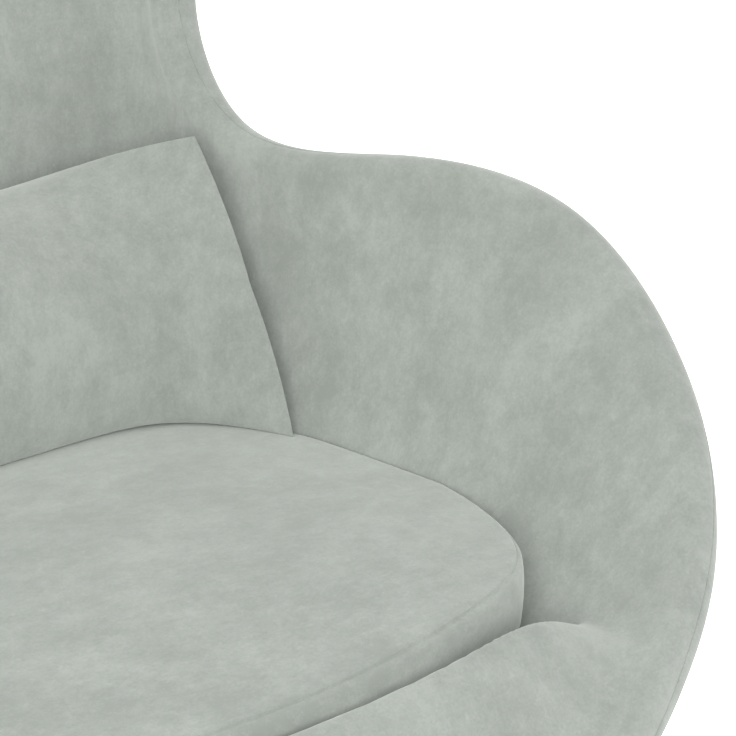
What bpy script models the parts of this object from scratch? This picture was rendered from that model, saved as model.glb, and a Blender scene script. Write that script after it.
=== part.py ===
"""Upholstered egg chair.

A one-piece padded shell turns on a four-star base. A loose seat cushion lies in the shell, and a
loose back pillow stands on the cushion. Metres, +Z up, the front faces -Y, and the origin is on the
floor under the swivel axis.
"""

import math

import bmesh
import bpy
import numpy as np
from mathutils import Matrix, Vector
from mathutils.bvhtree import BVHTree

# Fits
GAP = 0.0003  # between pieces that touch
RUNNING_GAP = 0.0004  # round the turning spindle
FILL_GAP = 0.0008  # round a filling inside its loose cover
EDGE_GAP = 0.0025  # past the cut edges of the shell and its outer foam
EDGE_EASE = 0.0015  # how far those edges are eased on each side

# Layers of the upholstered shell, from the sitter's side outwards
COVER = 0.0012
INNER_FOAM = 0.020
SHELL = 0.006
OUTER_FOAM = 0.005

# Flat pan under the seat cushion
PAN_HEIGHT = 0.350
PAN_HALF_WIDTH = 0.195
PAN_BACK = 0.170
PAN_FRONT = 0.185

# Sections of the face that the sitter sees, from the back centre round the right arm to the front
# centre. Each starts on the pan, is drawn towards its hip and its shoulder, and ends at its rim point.
# Points are (half width, depth, height above the pan), in the order rim, shoulder, hip.
SECTIONS = {
    "head top": ((0.000, 0.352, 0.690), (0.000, 0.265, 0.440), (0.000, 0.258, 0.022)),
    "head side": ((0.200, 0.320, 0.635), (0.187, 0.269, 0.471), (0.124, 0.249, 0.022)),
    "wing": ((0.287, 0.244, 0.503), (0.268, 0.297, 0.412), (0.184, 0.233, 0.022)),
    "wing low": ((0.271, 0.226, 0.367), (0.278, 0.256, 0.305), (0.217, 0.205, 0.022)),
    "neck": ((0.281, 0.157, 0.260), (0.288, 0.186, 0.202), (0.243, 0.167, 0.022)),
    "arm back": ((0.331, 0.042, 0.261), (0.294, 0.073, 0.159), (0.270, 0.099, 0.022)),
    "arm top": ((0.398, -0.076, 0.247), (0.308, -0.058, 0.150), (0.288, 0.005, 0.020)),
    "arm front": ((0.391, -0.197, 0.168), (0.308, -0.160, 0.094), (0.285, -0.090, 0.012)),
    "arm nose": ((0.350, -0.261, 0.099), (0.302, -0.226, 0.044), (0.268, -0.170, 0.008)),
    "lip side": ((0.284, -0.306, 0.048), (0.256, -0.280, 0.018), (0.218, -0.237, 0.004)),
    "lip corner": ((0.172, -0.349, -0.002), (0.165, -0.312, 0.000), (0.145, -0.265, 0.001)),
    "lip": ((0.000, -0.368, -0.015), (0.000, -0.322, -0.006), (0.000, -0.275, 0.000)),
}

# Raised roll of the front lip: padding that swells in front of the cushion and dies out at the rim
LIP_ROLL_HEIGHT = 0.074
LIP_ROLL_BOW = 2.4
LIP_ROLL_START = 0.018
LIP_ROLL_RISE = 0.028
LIP_ROLL_FALL = 0.55
LIP_ROLL_END = 0.292
LIP_ROLL_ROUNDING = 2.0
LIP_ROLL_LEAST = 1e-6

# Rim seam between the inner and outer covers, as an angle round the rolled edge from the inner face
SEAM_ANGLE = math.radians(95)

# Seat cushion: its outline is a bowed front, two bowed sides and the wall of the shell behind
CUSHION_CENTRE = -0.055
CUSHION_FRONT = -0.2725
CUSHION_FRONT_BOW = 0.66
CUSHION_HALF_WIDTH = 0.298
CUSHION_WIDEST = -0.080
CUSHION_SIDE_BOW = 0.31
CUSHION_CORNER_SHARPNESS = 20.0
CUSHION_CLEARANCE = 0.005
CUSHION_SEAM_HEIGHT = 0.080  # above the pan
CUSHION_LOWER_SEAM_HEIGHT = 0.024  # above the pan
CUSHION_SEAM_PINCH = 0.3
CUSHION_BAND_DRAW_IN = 0.004
CUSHION_CROWN = 0.013
CUSHION_CROWN_FULLNESS = 0.8
CUSHION_TOP_RINGS = (0.94, 0.80, 0.58, 0.30)
CUSHION_ZIP_COLUMNS = 6
WALL_SEARCH = 1.0  # farther than any wall of the shell

# Back pillow
PILLOW_WIDTH = 0.508
PILLOW_HEIGHT = 0.226
PILLOW_THICKNESS = 0.114
PILLOW_LEAN = math.radians(28)
PILLOW_SIDE_DRAW_IN = 0.004
PILLOW_TOP_DRAW_IN = 0.054
PILLOW_BOTTOM_DRAW_IN = 0.010
PILLOW_FLATNESS = 2
PILLOW_FULLNESS = 0.55
PILLOW_EAR_BEND = 0.088
PILLOW_EAR_SHARPNESS = 6
PILLOW_SEAM_INSET = 0.0022
PILLOW_ZIP_COLUMNS = 6
PILLOW_APPROACH = 0.200  # clear way in front of the pillow and above it

# Plate laminated into the pan
MOUNT_FLANGE_RADIUS = 0.105
MOUNT_FLANGE = 0.008
MOUNT_BOSS_RADIUS = 0.062
BOLT_COUNT = 4
BOLT_CIRCLE = 0.043
BOLT_RADIUS = 0.004
BOLT_GRIP = 0.010
BOLT_HEAD_RADIUS = 0.0066
BOLT_HEAD = 0.0053
BOLT_SOCKET_RADIUS = 0.0028
BOLT_SOCKET = 0.003
WASHER_RADIUS = 0.008
WASHER = 0.0016

# Swivel
SWIVEL_PLATE_RADIUS = 0.072
SWIVEL_PLATE = 0.006
SWIVEL_HUB_RADIUS = 0.022
SWIVEL_HUB = 0.010
SPINDLE_RADIUS = 0.0135
SPINDLE_TAIL = 0.002
RACE_RADIUS = 0.021
RACE = 0.002
CAGE = 0.003
BUSH_WALL = 0.004
BUSH_LENGTH = 0.025
BUSH_FLANGE = 0.002
COLUMN_WALL = 0.0055
RING_GROOVE = 0.0015
RING_WIDTH = 0.004
RING = 0.0016
RETAINING_WASHER_WIDTH = 0.0045
RETAINING_WASHER = 0.0015

# Star base
LEG_COUNT = 4
LEG_REACH = 0.335
LEG_TIP_HEIGHT = 0.026
LEG_TIP_WIDTH = 0.036
LEG_ROOT_HEIGHT = 0.040
LEG_ROOT_WIDTH = 0.056
LEG_RISE = 0.060
# Outline of a leg as shares of its half width and height: flat underside, rounded shoulders
LEG_OUTLINE = (
    (-0.82, 0.0), (0.82, 0.0), (1.0, 0.18), (1.0, 0.5), (0.62, 0.9),
    (0.0, 1.0), (-0.62, 0.9), (-1.0, 0.5), (-1.0, 0.18),
)
# Sections of a leg as shares of its reach, each with how full its outline is there
LEG_SECTIONS = ((0.09, 1), (0.24, 1), (0.45, 1), (0.66, 1), (0.84, 1), (0.952, 1), (0.985, 0.86), (1.0, 0.56))
HUB_RADIUS = 0.046
HUB_FOOT = 0.050
HUB_HEIGHT = 0.078
HUB_LEDGE = 0.014
# Outline of the hub above its foot as shares of its radius and height
HUB_OUTLINE = ((1.0, 0.0), (0.98, 0.6), (0.82, 0.92), (0.72, 1.0))
CAP_RADIUS = 0.030
CAP_FLANGE = 0.003
CAP_PLUG = 0.005
GLIDE_RADIUS = 0.016
GLIDE_FOOT_RADIUS = 0.0145
GLIDE_CHAMFER = 0.002
GLIDE = 0.008
GLIDE_STEM_RADIUS = 0.004
GLIDE_STEM = 0.014
GLIDE_INSET = 0.024

# Fineness of the meshes
COLUMNS = 44
WALL_ROWS = 6
CUSHION_COLUMNS = 36
PILLOW_COLUMNS = 14
PILLOW_ROWS = 10
ROUND_SEGMENTS = 20
SMALL_SEGMENTS = 12
SHARP_EDGE = math.radians(40)

# Depths of the layers below the visible face, and the radius of the rolled edge that they add up to
FOAM_DEPTH = COVER + GAP
SHELL_DEPTH = FOAM_DEPTH + INNER_FOAM + GAP
OUTER_FOAM_DEPTH = SHELL_DEPTH + SHELL + GAP
OUTER_COVER_DEPTH = OUTER_FOAM_DEPTH + OUTER_FOAM + GAP
FULL_DEPTH = OUTER_COVER_DEPTH + COVER
EDGE_RADIUS = FULL_DEPTH / 2
ROLL_ANGLES = (SEAM_ANGLE / 2, SEAM_ANGLE, (SEAM_ANGLE + math.pi) / 2, math.pi)

# Heights of the swivel, from the seat pan down
MOUNT_TOP = PAN_HEIGHT - SHELL_DEPTH
FLANGE_TOP = MOUNT_TOP - SHELL - GAP
FLANGE_BOTTOM = FLANGE_TOP - MOUNT_FLANGE
PLATE_TOP = FLANGE_BOTTOM - GAP
PLATE_BOTTOM = PLATE_TOP - SWIVEL_PLATE
SWIVEL_HUB_BOTTOM = PLATE_BOTTOM - SWIVEL_HUB
UPPER_RACE_BOTTOM = SWIVEL_HUB_BOTTOM - GAP - RACE
CAGE_BOTTOM = UPPER_RACE_BOTTOM - GAP - CAGE
LOWER_RACE_BOTTOM = CAGE_BOTTOM - GAP - RACE
BUSH_TOP = LOWER_RACE_BOTTOM - GAP
COLUMN_TOP = BUSH_TOP - BUSH_FLANGE - GAP
COLUMN_BOTTOM = HUB_FOOT + HUB_LEDGE + GAP
BUSH_BORE = SPINDLE_RADIUS + RUNNING_GAP
BUSH_RADIUS = BUSH_BORE + BUSH_WALL
COLUMN_BORE = BUSH_RADIUS + GAP
COLUMN_RADIUS = COLUMN_BORE + COLUMN_WALL
RETAINING_WASHER_TOP = COLUMN_BOTTOM - GAP
RING_TOP = RETAINING_WASHER_TOP - RETAINING_WASHER - GAP
SPINDLE_BOTTOM = RING_TOP - RING - SPINDLE_TAIL
LEDGE_BORE = SPINDLE_RADIUS + RETAINING_WASHER_WIDTH + RUNNING_GAP


def material(name, colour, roughness, metallic=0.0):
    """A plain finish: linear colour, roughness and metallic value."""
    finish = bpy.data.materials.new(name)
    finish.use_nodes = True
    shader = finish.node_tree.nodes["Principled BSDF"]
    shader.inputs["Base Color"].default_value = (*colour, 1.0)
    shader.inputs["Roughness"].default_value = roughness
    shader.inputs["Metallic"].default_value = metallic
    return finish


def place(name, bm, finish, parent):
    """Turns a finished bmesh into a named object under its body's empty."""
    bmesh.ops.recalc_face_normals(bm, faces=bm.faces)
    mesh = bpy.data.meshes.new(name)
    bm.to_mesh(mesh)
    bm.free()
    mesh.shade_smooth()
    mesh.set_sharp_from_angle(angle=SHARP_EDGE)
    mesh.materials.append(finish)
    piece = bpy.data.objects.new(name, mesh)
    bpy.context.scene.collection.objects.link(piece)
    piece.parent = parent
    piece.matrix_parent_inverse = parent.matrix_world.inverted()
    return piece


def body(name, location, parent=None):
    """An empty on a joint's axis, which carries the pieces that move with it."""
    empty = bpy.data.objects.new(name, None)
    empty.location = location
    bpy.context.scene.collection.objects.link(empty)
    if parent:
        empty.parent = parent
        empty.matrix_parent_inverse = Matrix.Translation(parent.matrix_world.translation).inverted()
    bpy.context.view_layer.update()
    return empty


def bmesh_of(points, faces):
    bm = bmesh.new()
    corners = [bm.verts.new(Vector(p)) for p in points]
    for face in faces:
        bm.faces.new([corners[i] for i in face])
    return bm


def thick(faces, outer, inner):
    """Closes two matching surfaces into one body, with a wall along every open edge."""
    count = len(outer)
    edges = {}
    for face in faces:
        for a, b in zip(face, face[1:] + face[:1]):
            edges[(a, b)] = True
    walls = []
    for a, b in edges:
        if (b, a) not in edges:
            walls += [(b, a, a + count), (b, a + count, b + count)]
    under = [tuple(i + count for i in reversed(face)) for face in faces]
    return bmesh_of(np.concatenate([outer, inner]), list(faces) + under + walls)


def ring_faces(rings, columns, start_pole=False, end_pole=False, skip=(), crossed=0):
    """Triangles over rings of points, with optional poles. The last crossed bands split the other way."""
    first = 1 if start_pole else 0
    faces = []
    for c in range(columns):
        n = (c + 1) % columns
        if start_pole:
            faces.append((0, first + n, first + c))
        for r in range(rings - 1):
            if (r, c) in skip:
                continue
            a = first + r * columns + c
            b = first + r * columns + n
            if r < rings - 1 - crossed:
                faces += [(a, b, b + columns), (a, b + columns, a + columns)]
            else:
                faces += [(a, b, a + columns), (b, b + columns, a + columns)]
        if end_pole:
            last = first + (rings - 1) * columns
            faces.append((last + c, last + n, last + columns))
    return faces


def turned(profile, segments):
    """Turns an outline of (radius, height) points round Z. Points at radius 0 become poles."""
    bm = bmesh.new()
    corners = [bm.verts.new((r, 0.0, z)) for r, z in profile]
    loop = corners if profile[0][0] == 0.0 else corners + corners[:1]
    edges = [bm.edges.new(pair) for pair in zip(loop, loop[1:])]
    bmesh.ops.spin(
        bm, geom=corners + edges, cent=(0, 0, 0), axis=(0, 0, 1), angle=math.tau, steps=segments,
        use_merge=True, use_duplicate=False,
    )
    bmesh.ops.remove_doubles(bm, verts=bm.verts, dist=0.00001)
    return bm


def moved(bm, offset):
    bmesh.ops.translate(bm, verts=bm.verts, vec=offset)
    return bm


def spline_ring(points, count):
    """A smooth closed curve through the points, read at even steps."""
    points = np.asarray(points, float)
    spans = len(points)
    system = 4 * np.eye(spans) + np.roll(np.eye(spans), 1, 0) + np.roll(np.eye(spans), -1, 0)
    slopes = np.linalg.solve(system, 3 * (np.roll(points, -1, 0) - np.roll(points, 1, 0)))
    place_on = np.arange(count) * spans / count
    i = place_on.astype(int)
    j = (i + 1) % spans
    t = (place_on - i)[:, None]
    start = (1 + 2 * t) * (1 - t) ** 2 * points[i] + t * (1 - t) ** 2 * slopes[i]
    return start + t * t * (3 - 2 * t) * points[j] + t * t * (t - 1) * slopes[j]


def unit(vectors):
    return vectors / np.linalg.norm(vectors, axis=-1, keepdims=True)


def pan_point(hip):
    """Where a section leaves the pan: on the pan's oval, in line with the section's hip."""
    reach = PAN_BACK if hip[1] > 0 else PAN_FRONT
    scale = math.hypot(hip[0] / PAN_HALF_WIDTH, hip[1] / reach)
    return (hip[0] / scale, hip[1] / scale, 0.0)


def section_rings(count):
    """The four control rings of the face: pan, hip, shoulder and rim."""
    half = np.array([(pan_point(hip), hip, shoulder, rim) for rim, shoulder, hip in SECTIONS.values()])
    other = half[-2:0:-1] * (-1, 1, 1)
    sections = np.concatenate([half, other]) + (0, 0, PAN_HEIGHT)
    return [spline_ring(ring, count) for ring in sections.swapaxes(0, 1)]


def smooth_step(t):
    t = np.clip(t, 0, 1)
    return t * t * (3 - 2 * t)


def lip_roll(points, share):
    """How far the padding lifts the face at these points, given their shares of the way to the rim."""
    hub = CUSHION_FRONT + LIP_ROLL_BOW
    past_front = np.hypot(points[..., 0], points[..., 1] - hub) - LIP_ROLL_BOW
    from_back = np.maximum(past_front + LIP_ROLL_START, LIP_ROLL_LEAST)
    from_end = np.maximum(LIP_ROLL_END - np.abs(points[..., 0]), LIP_ROLL_LEAST)
    inside = (from_back**-LIP_ROLL_ROUNDING + from_end**-LIP_ROLL_ROUNDING) ** (-1 / LIP_ROLL_ROUNDING)
    rise = smooth_step(inside / LIP_ROLL_RISE)
    fall = smooth_step((1 - share) / LIP_ROLL_FALL)
    return LIP_ROLL_HEIGHT * rise * fall


def seat_face(columns, rows):
    """The bare face of the shell's hollow: points, normals towards the sitter and climb directions."""
    finer = 8
    rings = section_rings(columns * finer)
    t = np.linspace(0, 1, rows)[None, :, None]
    weights = ((1 - t) ** 3, 3 * t * (1 - t) ** 2, 3 * t * t * (1 - t), t**3)
    slopes = (-3 * (1 - t) ** 2, 3 * (1 - t) * (1 - 3 * t), 3 * t * (2 - 3 * t), 3 * t * t)
    points = sum(w * ring[:, None, :] for w, ring in zip(weights, rings))
    climb = unit(sum(w * ring[:, None, :] for w, ring in zip(slopes, rings)))
    around = unit(np.roll(points, -1, 0) - np.roll(points, 1, 0))
    normals = unit(np.cross(around, climb))
    keep = slice(None, None, finer)
    return points[keep], normals[keep], climb[keep]


def layer_rows(depth, hole=0.0, roll_angles=(), end_ease=0.0, padded=False):
    """Rows of one layer surface at a depth below the face: pan, wall and then the rolled edge."""
    points, normals, climb = seat_face(COLUMNS, WALL_ROWS)
    lift = lip_roll(points, np.linspace(0, 1, WALL_ROWS))[..., None] if padded else 0.0
    wall = points + normals * (lift - depth)
    if end_ease:
        wall[:, -1] += unit(wall[:, -2] - wall[:, -1]) * EDGE_GAP - normals[:, -1] * end_ease
    pan = wall[:, 0] * (1, 1, 0) + (0, 0, PAN_HEIGHT - depth)
    if hole:
        bearing = np.arange(COLUMNS) * math.tau / COLUMNS
        circle = np.stack([np.sin(bearing), np.cos(bearing), 0 * bearing], 1)
        inner_row = circle * hole / math.cos(math.pi / COLUMNS) + (0, 0, PAN_HEIGHT - depth)
    else:
        inner_row = pan * (0.5, 0.5, 1)
    rows = [inner_row] + [wall[:, r] for r in range(WALL_ROWS)]
    centre = points[:, -1] - normals[:, -1] * EDGE_RADIUS
    for angle in roll_angles:
        direction = normals[:, -1] * math.cos(angle) + climb[:, -1] * math.sin(angle)
        rows.append(centre + direction * abs(EDGE_RADIUS - depth))
    return rows


def with_pole(rows):
    """Rows as one list of points, led by the pole at the pan's centre."""
    pole = [(0.0, 0.0, rows[0][0][2])]
    return np.concatenate([pole] + rows)


def make_inner_cover(finish, parent):
    seam = SEAM_ANGLE - GAP / EDGE_RADIUS
    angles = (SEAM_ANGLE / 2, seam)
    outer = with_pole(layer_rows(0.0, roll_angles=angles, padded=True))
    inner = with_pole(layer_rows(COVER, roll_angles=angles, padded=True))
    faces = ring_faces(1 + WALL_ROWS + len(angles), COLUMNS, start_pole=True)
    place("inner_cover", thick(faces, outer, inner), finish, parent)


def make_inner_foam(finish, parent):
    outer = layer_rows(FOAM_DEPTH, roll_angles=ROLL_ANGLES, padded=True)
    inner = layer_rows(FOAM_DEPTH + INNER_FOAM)
    points, normals, _ = seat_face(COLUMNS, WALL_ROWS)
    first = FOAM_DEPTH + INNER_FOAM
    last = FULL_DEPTH - 2 * COVER
    for step in range(1, len(ROLL_ANGLES) + 1):
        depth = first + (last - first) * step / len(ROLL_ANGLES)
        inner.append(points[:, -1] - normals[:, -1] * depth)
    faces = ring_faces(len(outer), COLUMNS, start_pole=True)
    place("inner_foam", thick(faces, with_pole(outer), with_pole(inner)), finish, parent)


def make_outer_layer(name, depth, thickness, hole, finish, parent, roll_angles=()):
    ease = 0.0 if roll_angles else EDGE_EASE
    near = layer_rows(depth, hole, roll_angles, ease)
    far = layer_rows(depth + thickness, hole, roll_angles, -ease)
    faces = ring_faces(len(near), COLUMNS, crossed=len(roll_angles))
    place(name, thick(faces, np.concatenate(near), np.concatenate(far)), finish, parent)


def make_upholstered_shell(finishes, parent):
    make_inner_cover(finishes["fabric"], parent)
    make_inner_foam(finishes["foam"], parent)
    make_outer_layer("seat_shell", SHELL_DEPTH, SHELL, MOUNT_BOSS_RADIUS + GAP, finishes["laminate"], parent)
    flange_hole = MOUNT_FLANGE_RADIUS + GAP
    make_outer_layer("outer_foam", OUTER_FOAM_DEPTH, OUTER_FOAM, flange_hole, finishes["foam"], parent)
    seam = SEAM_ANGLE + GAP / EDGE_RADIUS
    angles = ((SEAM_ANGLE + math.pi) / 2, seam)
    make_outer_layer(
        "outer_cover", OUTER_COVER_DEPTH, COVER, flange_hole, finishes["fabric"], parent, roll_angles=angles
    )


def face_tree():
    """The padded face as a surface that rays can meet."""
    points = with_pole(layer_rows(0.0, padded=True))
    return BVHTree.FromPolygons([Vector(p) for p in points], ring_faces(1 + WALL_ROWS, COLUMNS, True))


def wall_reach(face, height, bearing):
    """How far the face is from the cushion's centre line at a height: the least within half a column."""
    start = Vector((0.0, CUSHION_CENTRE, height))
    nearest = np.full(CUSHION_COLUMNS, WALL_SEARCH)
    for turn in (-0.5, 0.0, 0.5):
        angles = bearing + turn * math.tau / CUSHION_COLUMNS
        ways = [face.ray_cast(start, Vector((math.cos(a), math.sin(a), 0.0)))[3] for a in angles]
        nearest = np.minimum(nearest, [WALL_SEARCH if way is None else way for way in ways])
    return nearest


def arc_reach(directions, hub, radius):
    """How far a circle is from the cushion's centre in each direction."""
    hub = np.array(hub) - (0.0, CUSHION_CENTRE)
    along = directions @ hub
    return along + np.sqrt(along**2 + radius**2 - hub @ hub)


def cushion_outline(face, height, inset, rise=0.0):
    """The cushion's outline at a height: the nearest of the walls, the bowed front and the bowed sides."""
    bearing = np.arange(CUSHION_COLUMNS) * math.tau / CUSHION_COLUMNS - math.pi
    directions = np.stack([np.cos(bearing), np.sin(bearing)], 1)
    side_hub = CUSHION_HALF_WIDTH - CUSHION_SIDE_BOW
    front = arc_reach(directions, (0.0, CUSHION_FRONT + CUSHION_FRONT_BOW), CUSHION_FRONT_BOW)
    right = arc_reach(directions, (side_hub, CUSHION_WIDEST), CUSHION_SIDE_BOW)
    left = arc_reach(directions, (-side_hub, CUSHION_WIDEST), CUSHION_SIDE_BOW)
    wall = wall_reach(face, height, bearing) - CUSHION_CLEARANCE
    side = np.minimum(np.minimum(left, right), wall)
    power = CUSHION_CORNER_SHARPNESS
    radius = (front**-power + side**-power) ** (-1 / power) - inset
    ring = directions * radius[:, None] + (0.0, CUSHION_CENTRE)
    return np.column_stack([ring, np.full(CUSHION_COLUMNS, height + rise)])


def scaled_ring(ring, scale, height):
    centre = np.array((0.0, CUSHION_CENTRE, 0.0))
    return (ring - centre) * (scale, scale, 0) + centre * (1, 1, 0) + (0, 0, height)


def cushion_rings(face, inset):
    """Rings from the middle of the underside over the drawn-in band to the crowned top."""
    floor = PAN_HEIGHT + GAP
    seam = PAN_HEIGHT + CUSHION_SEAM_HEIGHT
    lower_seam = PAN_HEIGHT + CUSHION_LOWER_SEAM_HEIGHT
    top = seam - inset
    foot_ring = cushion_outline(face, floor, inset, inset)
    top_ring = cushion_outline(face, seam, inset, -inset * CUSHION_SEAM_PINCH)
    rings = [
        scaled_ring(foot_ring, 0.5, floor + inset),
        foot_ring,
        cushion_outline(face, lower_seam, inset, inset),
        cushion_outline(face, (seam + lower_seam) / 2, inset + CUSHION_BAND_DRAW_IN),
        top_ring,
    ]
    for scale in CUSHION_TOP_RINGS:
        height = top + CUSHION_CROWN * (1 - scale**2) ** CUSHION_CROWN_FULLNESS
        rings.append(scaled_ring(top_ring, scale, height))
    poles = [(0.0, CUSHION_CENTRE, floor + inset)], [(0.0, CUSHION_CENTRE, top + CUSHION_CROWN)]
    return rings, np.concatenate([poles[0]] + rings + [poles[1]])


def zip_strip(name, near, far, finish, parent, crossed=0):
    """Closes the slot that two rows of points bound. The last crossed cells split the other way."""
    rows = []
    for low, high in (near, far):
        share = GAP / np.linalg.norm(high - low, axis=1, keepdims=True)
        rows.append([low + (high - low) * share, high - (high - low) * share])
    for side in rows:
        for row in side:
            row[0] += unit(row[1] - row[0]) * GAP
            row[-1] += unit(row[-2] - row[-1]) * GAP
    count = len(near[0])
    faces = []
    for c in range(count - 1):
        if c < count - 1 - crossed:
            faces += [(c, c + 1, c + 1 + count), (c, c + 1 + count, c + count)]
        else:
            faces += [(c, c + 1, c + count), (c + 1, c + 1 + count, c + count)]
    place(name, thick(faces, np.concatenate(rows[0]), np.concatenate(rows[1])), finish, parent)


def make_seat_cushion(finishes, parent):
    face = face_tree()
    outer_rings, outer = cushion_rings(face, 0.0)
    inner_rings, inner = cushion_rings(face, COVER)
    _, core = cushion_rings(face, COVER + FILL_GAP)
    back = 3 * CUSHION_COLUMNS // 4
    band = 3
    columns = [back - CUSHION_ZIP_COLUMNS // 2 + i for i in range(CUSHION_ZIP_COLUMNS)]
    skip = {(band, c) for c in columns}
    count = len(outer_rings)
    faces = ring_faces(count, CUSHION_COLUMNS, True, True, skip)
    place("seat_cushion_cover", thick(faces, outer, inner), finishes["fabric"], parent)
    solid = ring_faces(count, CUSHION_COLUMNS, True, True)
    place("seat_cushion_foam", bmesh_of(core, solid), finishes["foam"], parent)
    slot = columns + [columns[-1] + 1]
    near = outer_rings[band][slot], outer_rings[band + 1][slot]
    far = inner_rings[band][slot], inner_rings[band + 1][slot]
    zip_strip("seat_cushion_zip", near, far, finishes["zip"], parent)


def pillow_grid(inset, thickness):
    """Front and back sheets of the pillow in its own plane: width, height, and depth to the front."""
    across = np.sin(np.linspace(-0.5, 0.5, PILLOW_COLUMNS + 1) * math.pi)
    upward = np.sin(np.linspace(-0.5, 0.5, PILLOW_ROWS + 1) * math.pi)
    s, t = np.meshgrid(across, upward)
    half_width = PILLOW_WIDTH / 2 - inset
    half_height = PILLOW_HEIGHT / 2 - inset
    draw_in = np.where(t > 0, PILLOW_TOP_DRAW_IN, PILLOW_BOTTOM_DRAW_IN)
    x = s * (half_width - PILLOW_SIDE_DRAW_IN * (1 - t * t))
    z = t * (half_height - draw_in * (1 - s * s))
    swell = thickness / 2 * ((1 - s**PILLOW_FLATNESS) * (1 - t**PILLOW_FLATNESS)) ** PILLOW_FULLNESS
    return np.stack([x, z, swell], -1), np.stack([x, z, -swell], -1)


def pillow_points(inset, thickness, seat):
    """World points of both sheets, front first; the back sheet leaves out the shared edge."""
    front, back = pillow_grid(inset, thickness)
    upward = np.array((0.0, math.sin(PILLOW_LEAN), math.cos(PILLOW_LEAN)))
    forward = np.array((0.0, -math.cos(PILLOW_LEAN), math.sin(PILLOW_LEAN)))
    sheets = []
    for sheet in (front, back):
        bend = PILLOW_EAR_BEND * np.abs(2 * sheet[..., 0] / PILLOW_WIDTH) ** PILLOW_EAR_SHARPNESS
        spots = sheet[..., 1:2] * upward + sheet[..., 2:3] * forward + seat
        spots[..., 0] += sheet[..., 0]
        spots[..., 1] -= bend
        sheets.append(spots)
    return sheets


def pillow_faces(skip=()):
    """Triangles over both sheets, as indices into the front grid and the inner points of the back grid."""
    wide = PILLOW_COLUMNS + 1
    front_count = wide * (PILLOW_ROWS + 1)

    def front(r, c):
        return r * wide + c

    def back(r, c):
        if r in (0, PILLOW_ROWS) or c in (0, PILLOW_COLUMNS):
            return front(r, c)
        return front_count + (r - 1) * (wide - 2) + c - 1

    faces = []
    for r in range(PILLOW_ROWS):
        for c in range(PILLOW_COLUMNS):
            for corner, flip in ((front, False), (back, True)):
                if flip and (r, c) in skip:
                    continue
                a, b = corner(r, c), corner(r, c + 1)
                d, e = corner(r + 1, c + 1), corner(r + 1, c)
                rising = (r < PILLOW_ROWS / 2) == (c < PILLOW_COLUMNS / 2)
                pair = [(a, b, d), (a, d, e)] if rising else [(a, b, e), (b, d, e)]
                faces += [tuple(reversed(f)) for f in pair] if flip else pair
    return faces


def joined_sheets(sheets):
    front, back = sheets
    return np.concatenate([front.reshape(-1, 3), back[1:-1, 1:-1].reshape(-1, 3)])


def clear_way(points, direction, target):
    """How far the points can go before the first meets the target; negative where one is past it."""
    starts = [Vector(p) - direction * PILLOW_APPROACH for p in points]
    ways = [target.ray_cast(start, direction)[3] for start in starts]
    return min(way for way in ways if way is not None) - PILLOW_APPROACH


def pillow_seat():
    """The pillow's centre where it stands on the cushion and leans on the back of the shell."""
    face = face_tree()
    rings, spots = cushion_rings(face, 0.0)
    seat_faces = ring_faces(len(rings), CUSHION_COLUMNS, True, True)
    cushion = BVHTree.FromPolygons([Vector(p) for p in spots], seat_faces)
    back = Vector((0, 1, 0))
    down = Vector((0, 0, -1))
    spot = np.array((0.0, 0.0, PAN_HEIGHT + CUSHION_SEAM_HEIGHT + PILLOW_HEIGHT / 2))
    for _ in range(12):
        points = joined_sheets(pillow_points(0.0, PILLOW_THICKNESS, spot))
        spot[1] += clear_way(points, back, face) - 2 * GAP
        points = joined_sheets(pillow_points(0.0, PILLOW_THICKNESS, spot))
        spot[2] -= clear_way(points, down, cushion) - 2 * GAP
    return spot


def make_pillow(finishes, parent, seat):
    cover = pillow_points(0.0, PILLOW_THICKNESS, seat)
    lining = pillow_points(PILLOW_SEAM_INSET, PILLOW_THICKNESS - 2 * COVER, seat)
    loose = PILLOW_THICKNESS - 2 * (COVER + FILL_GAP)
    fill = pillow_points(PILLOW_SEAM_INSET + FILL_GAP, loose, seat)
    row = 1
    first = (PILLOW_COLUMNS - PILLOW_ZIP_COLUMNS) // 2
    skip = {(row, first + i) for i in range(PILLOW_ZIP_COLUMNS)}
    shell = thick(pillow_faces(skip), joined_sheets(cover), joined_sheets(lining))
    place("pillow_cover", shell, finishes["fabric"], parent)
    place("pillow_fill", bmesh_of(joined_sheets(fill), pillow_faces()), finishes["fibre"], parent)
    slot = slice(first, first + PILLOW_ZIP_COLUMNS + 1)
    near = cover[1][row, slot], cover[1][row + 1, slot]
    far = lining[1][row, slot], lining[1][row + 1, slot]
    zip_strip("pillow_zip", near, far, finishes["zip"], parent, crossed=PILLOW_ZIP_COLUMNS // 2)


def cut(piece, cutter_bm, operation="DIFFERENCE"):
    """Leaves a Boolean on the piece, fed by a hidden guide."""
    mesh = bpy.data.meshes.new("guide")
    bmesh.ops.recalc_face_normals(cutter_bm, faces=cutter_bm.faces)
    cutter_bm.to_mesh(mesh)
    cutter_bm.free()
    guide = bpy.data.objects.new("guide", mesh)
    guide.hide_render = True
    guide.display_type = "WIRE"
    bpy.context.scene.collection.objects.link(guide)
    modifier = piece.modifiers.new(operation.lower(), "BOOLEAN")
    modifier.operation = operation
    modifier.solver = "EXACT"
    modifier.object = guide


def rod(radius, bottom, top, segments=SMALL_SEGMENTS):
    return turned([(0.0, bottom), (radius, bottom), (radius, top), (0.0, top)], segments)


def bolt_spots():
    for i in range(BOLT_COUNT):
        angle = math.tau * (i + 0.5) / BOLT_COUNT
        yield i + 1, Vector((BOLT_CIRCLE * math.cos(angle), BOLT_CIRCLE * math.sin(angle), 0.0))


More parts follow.
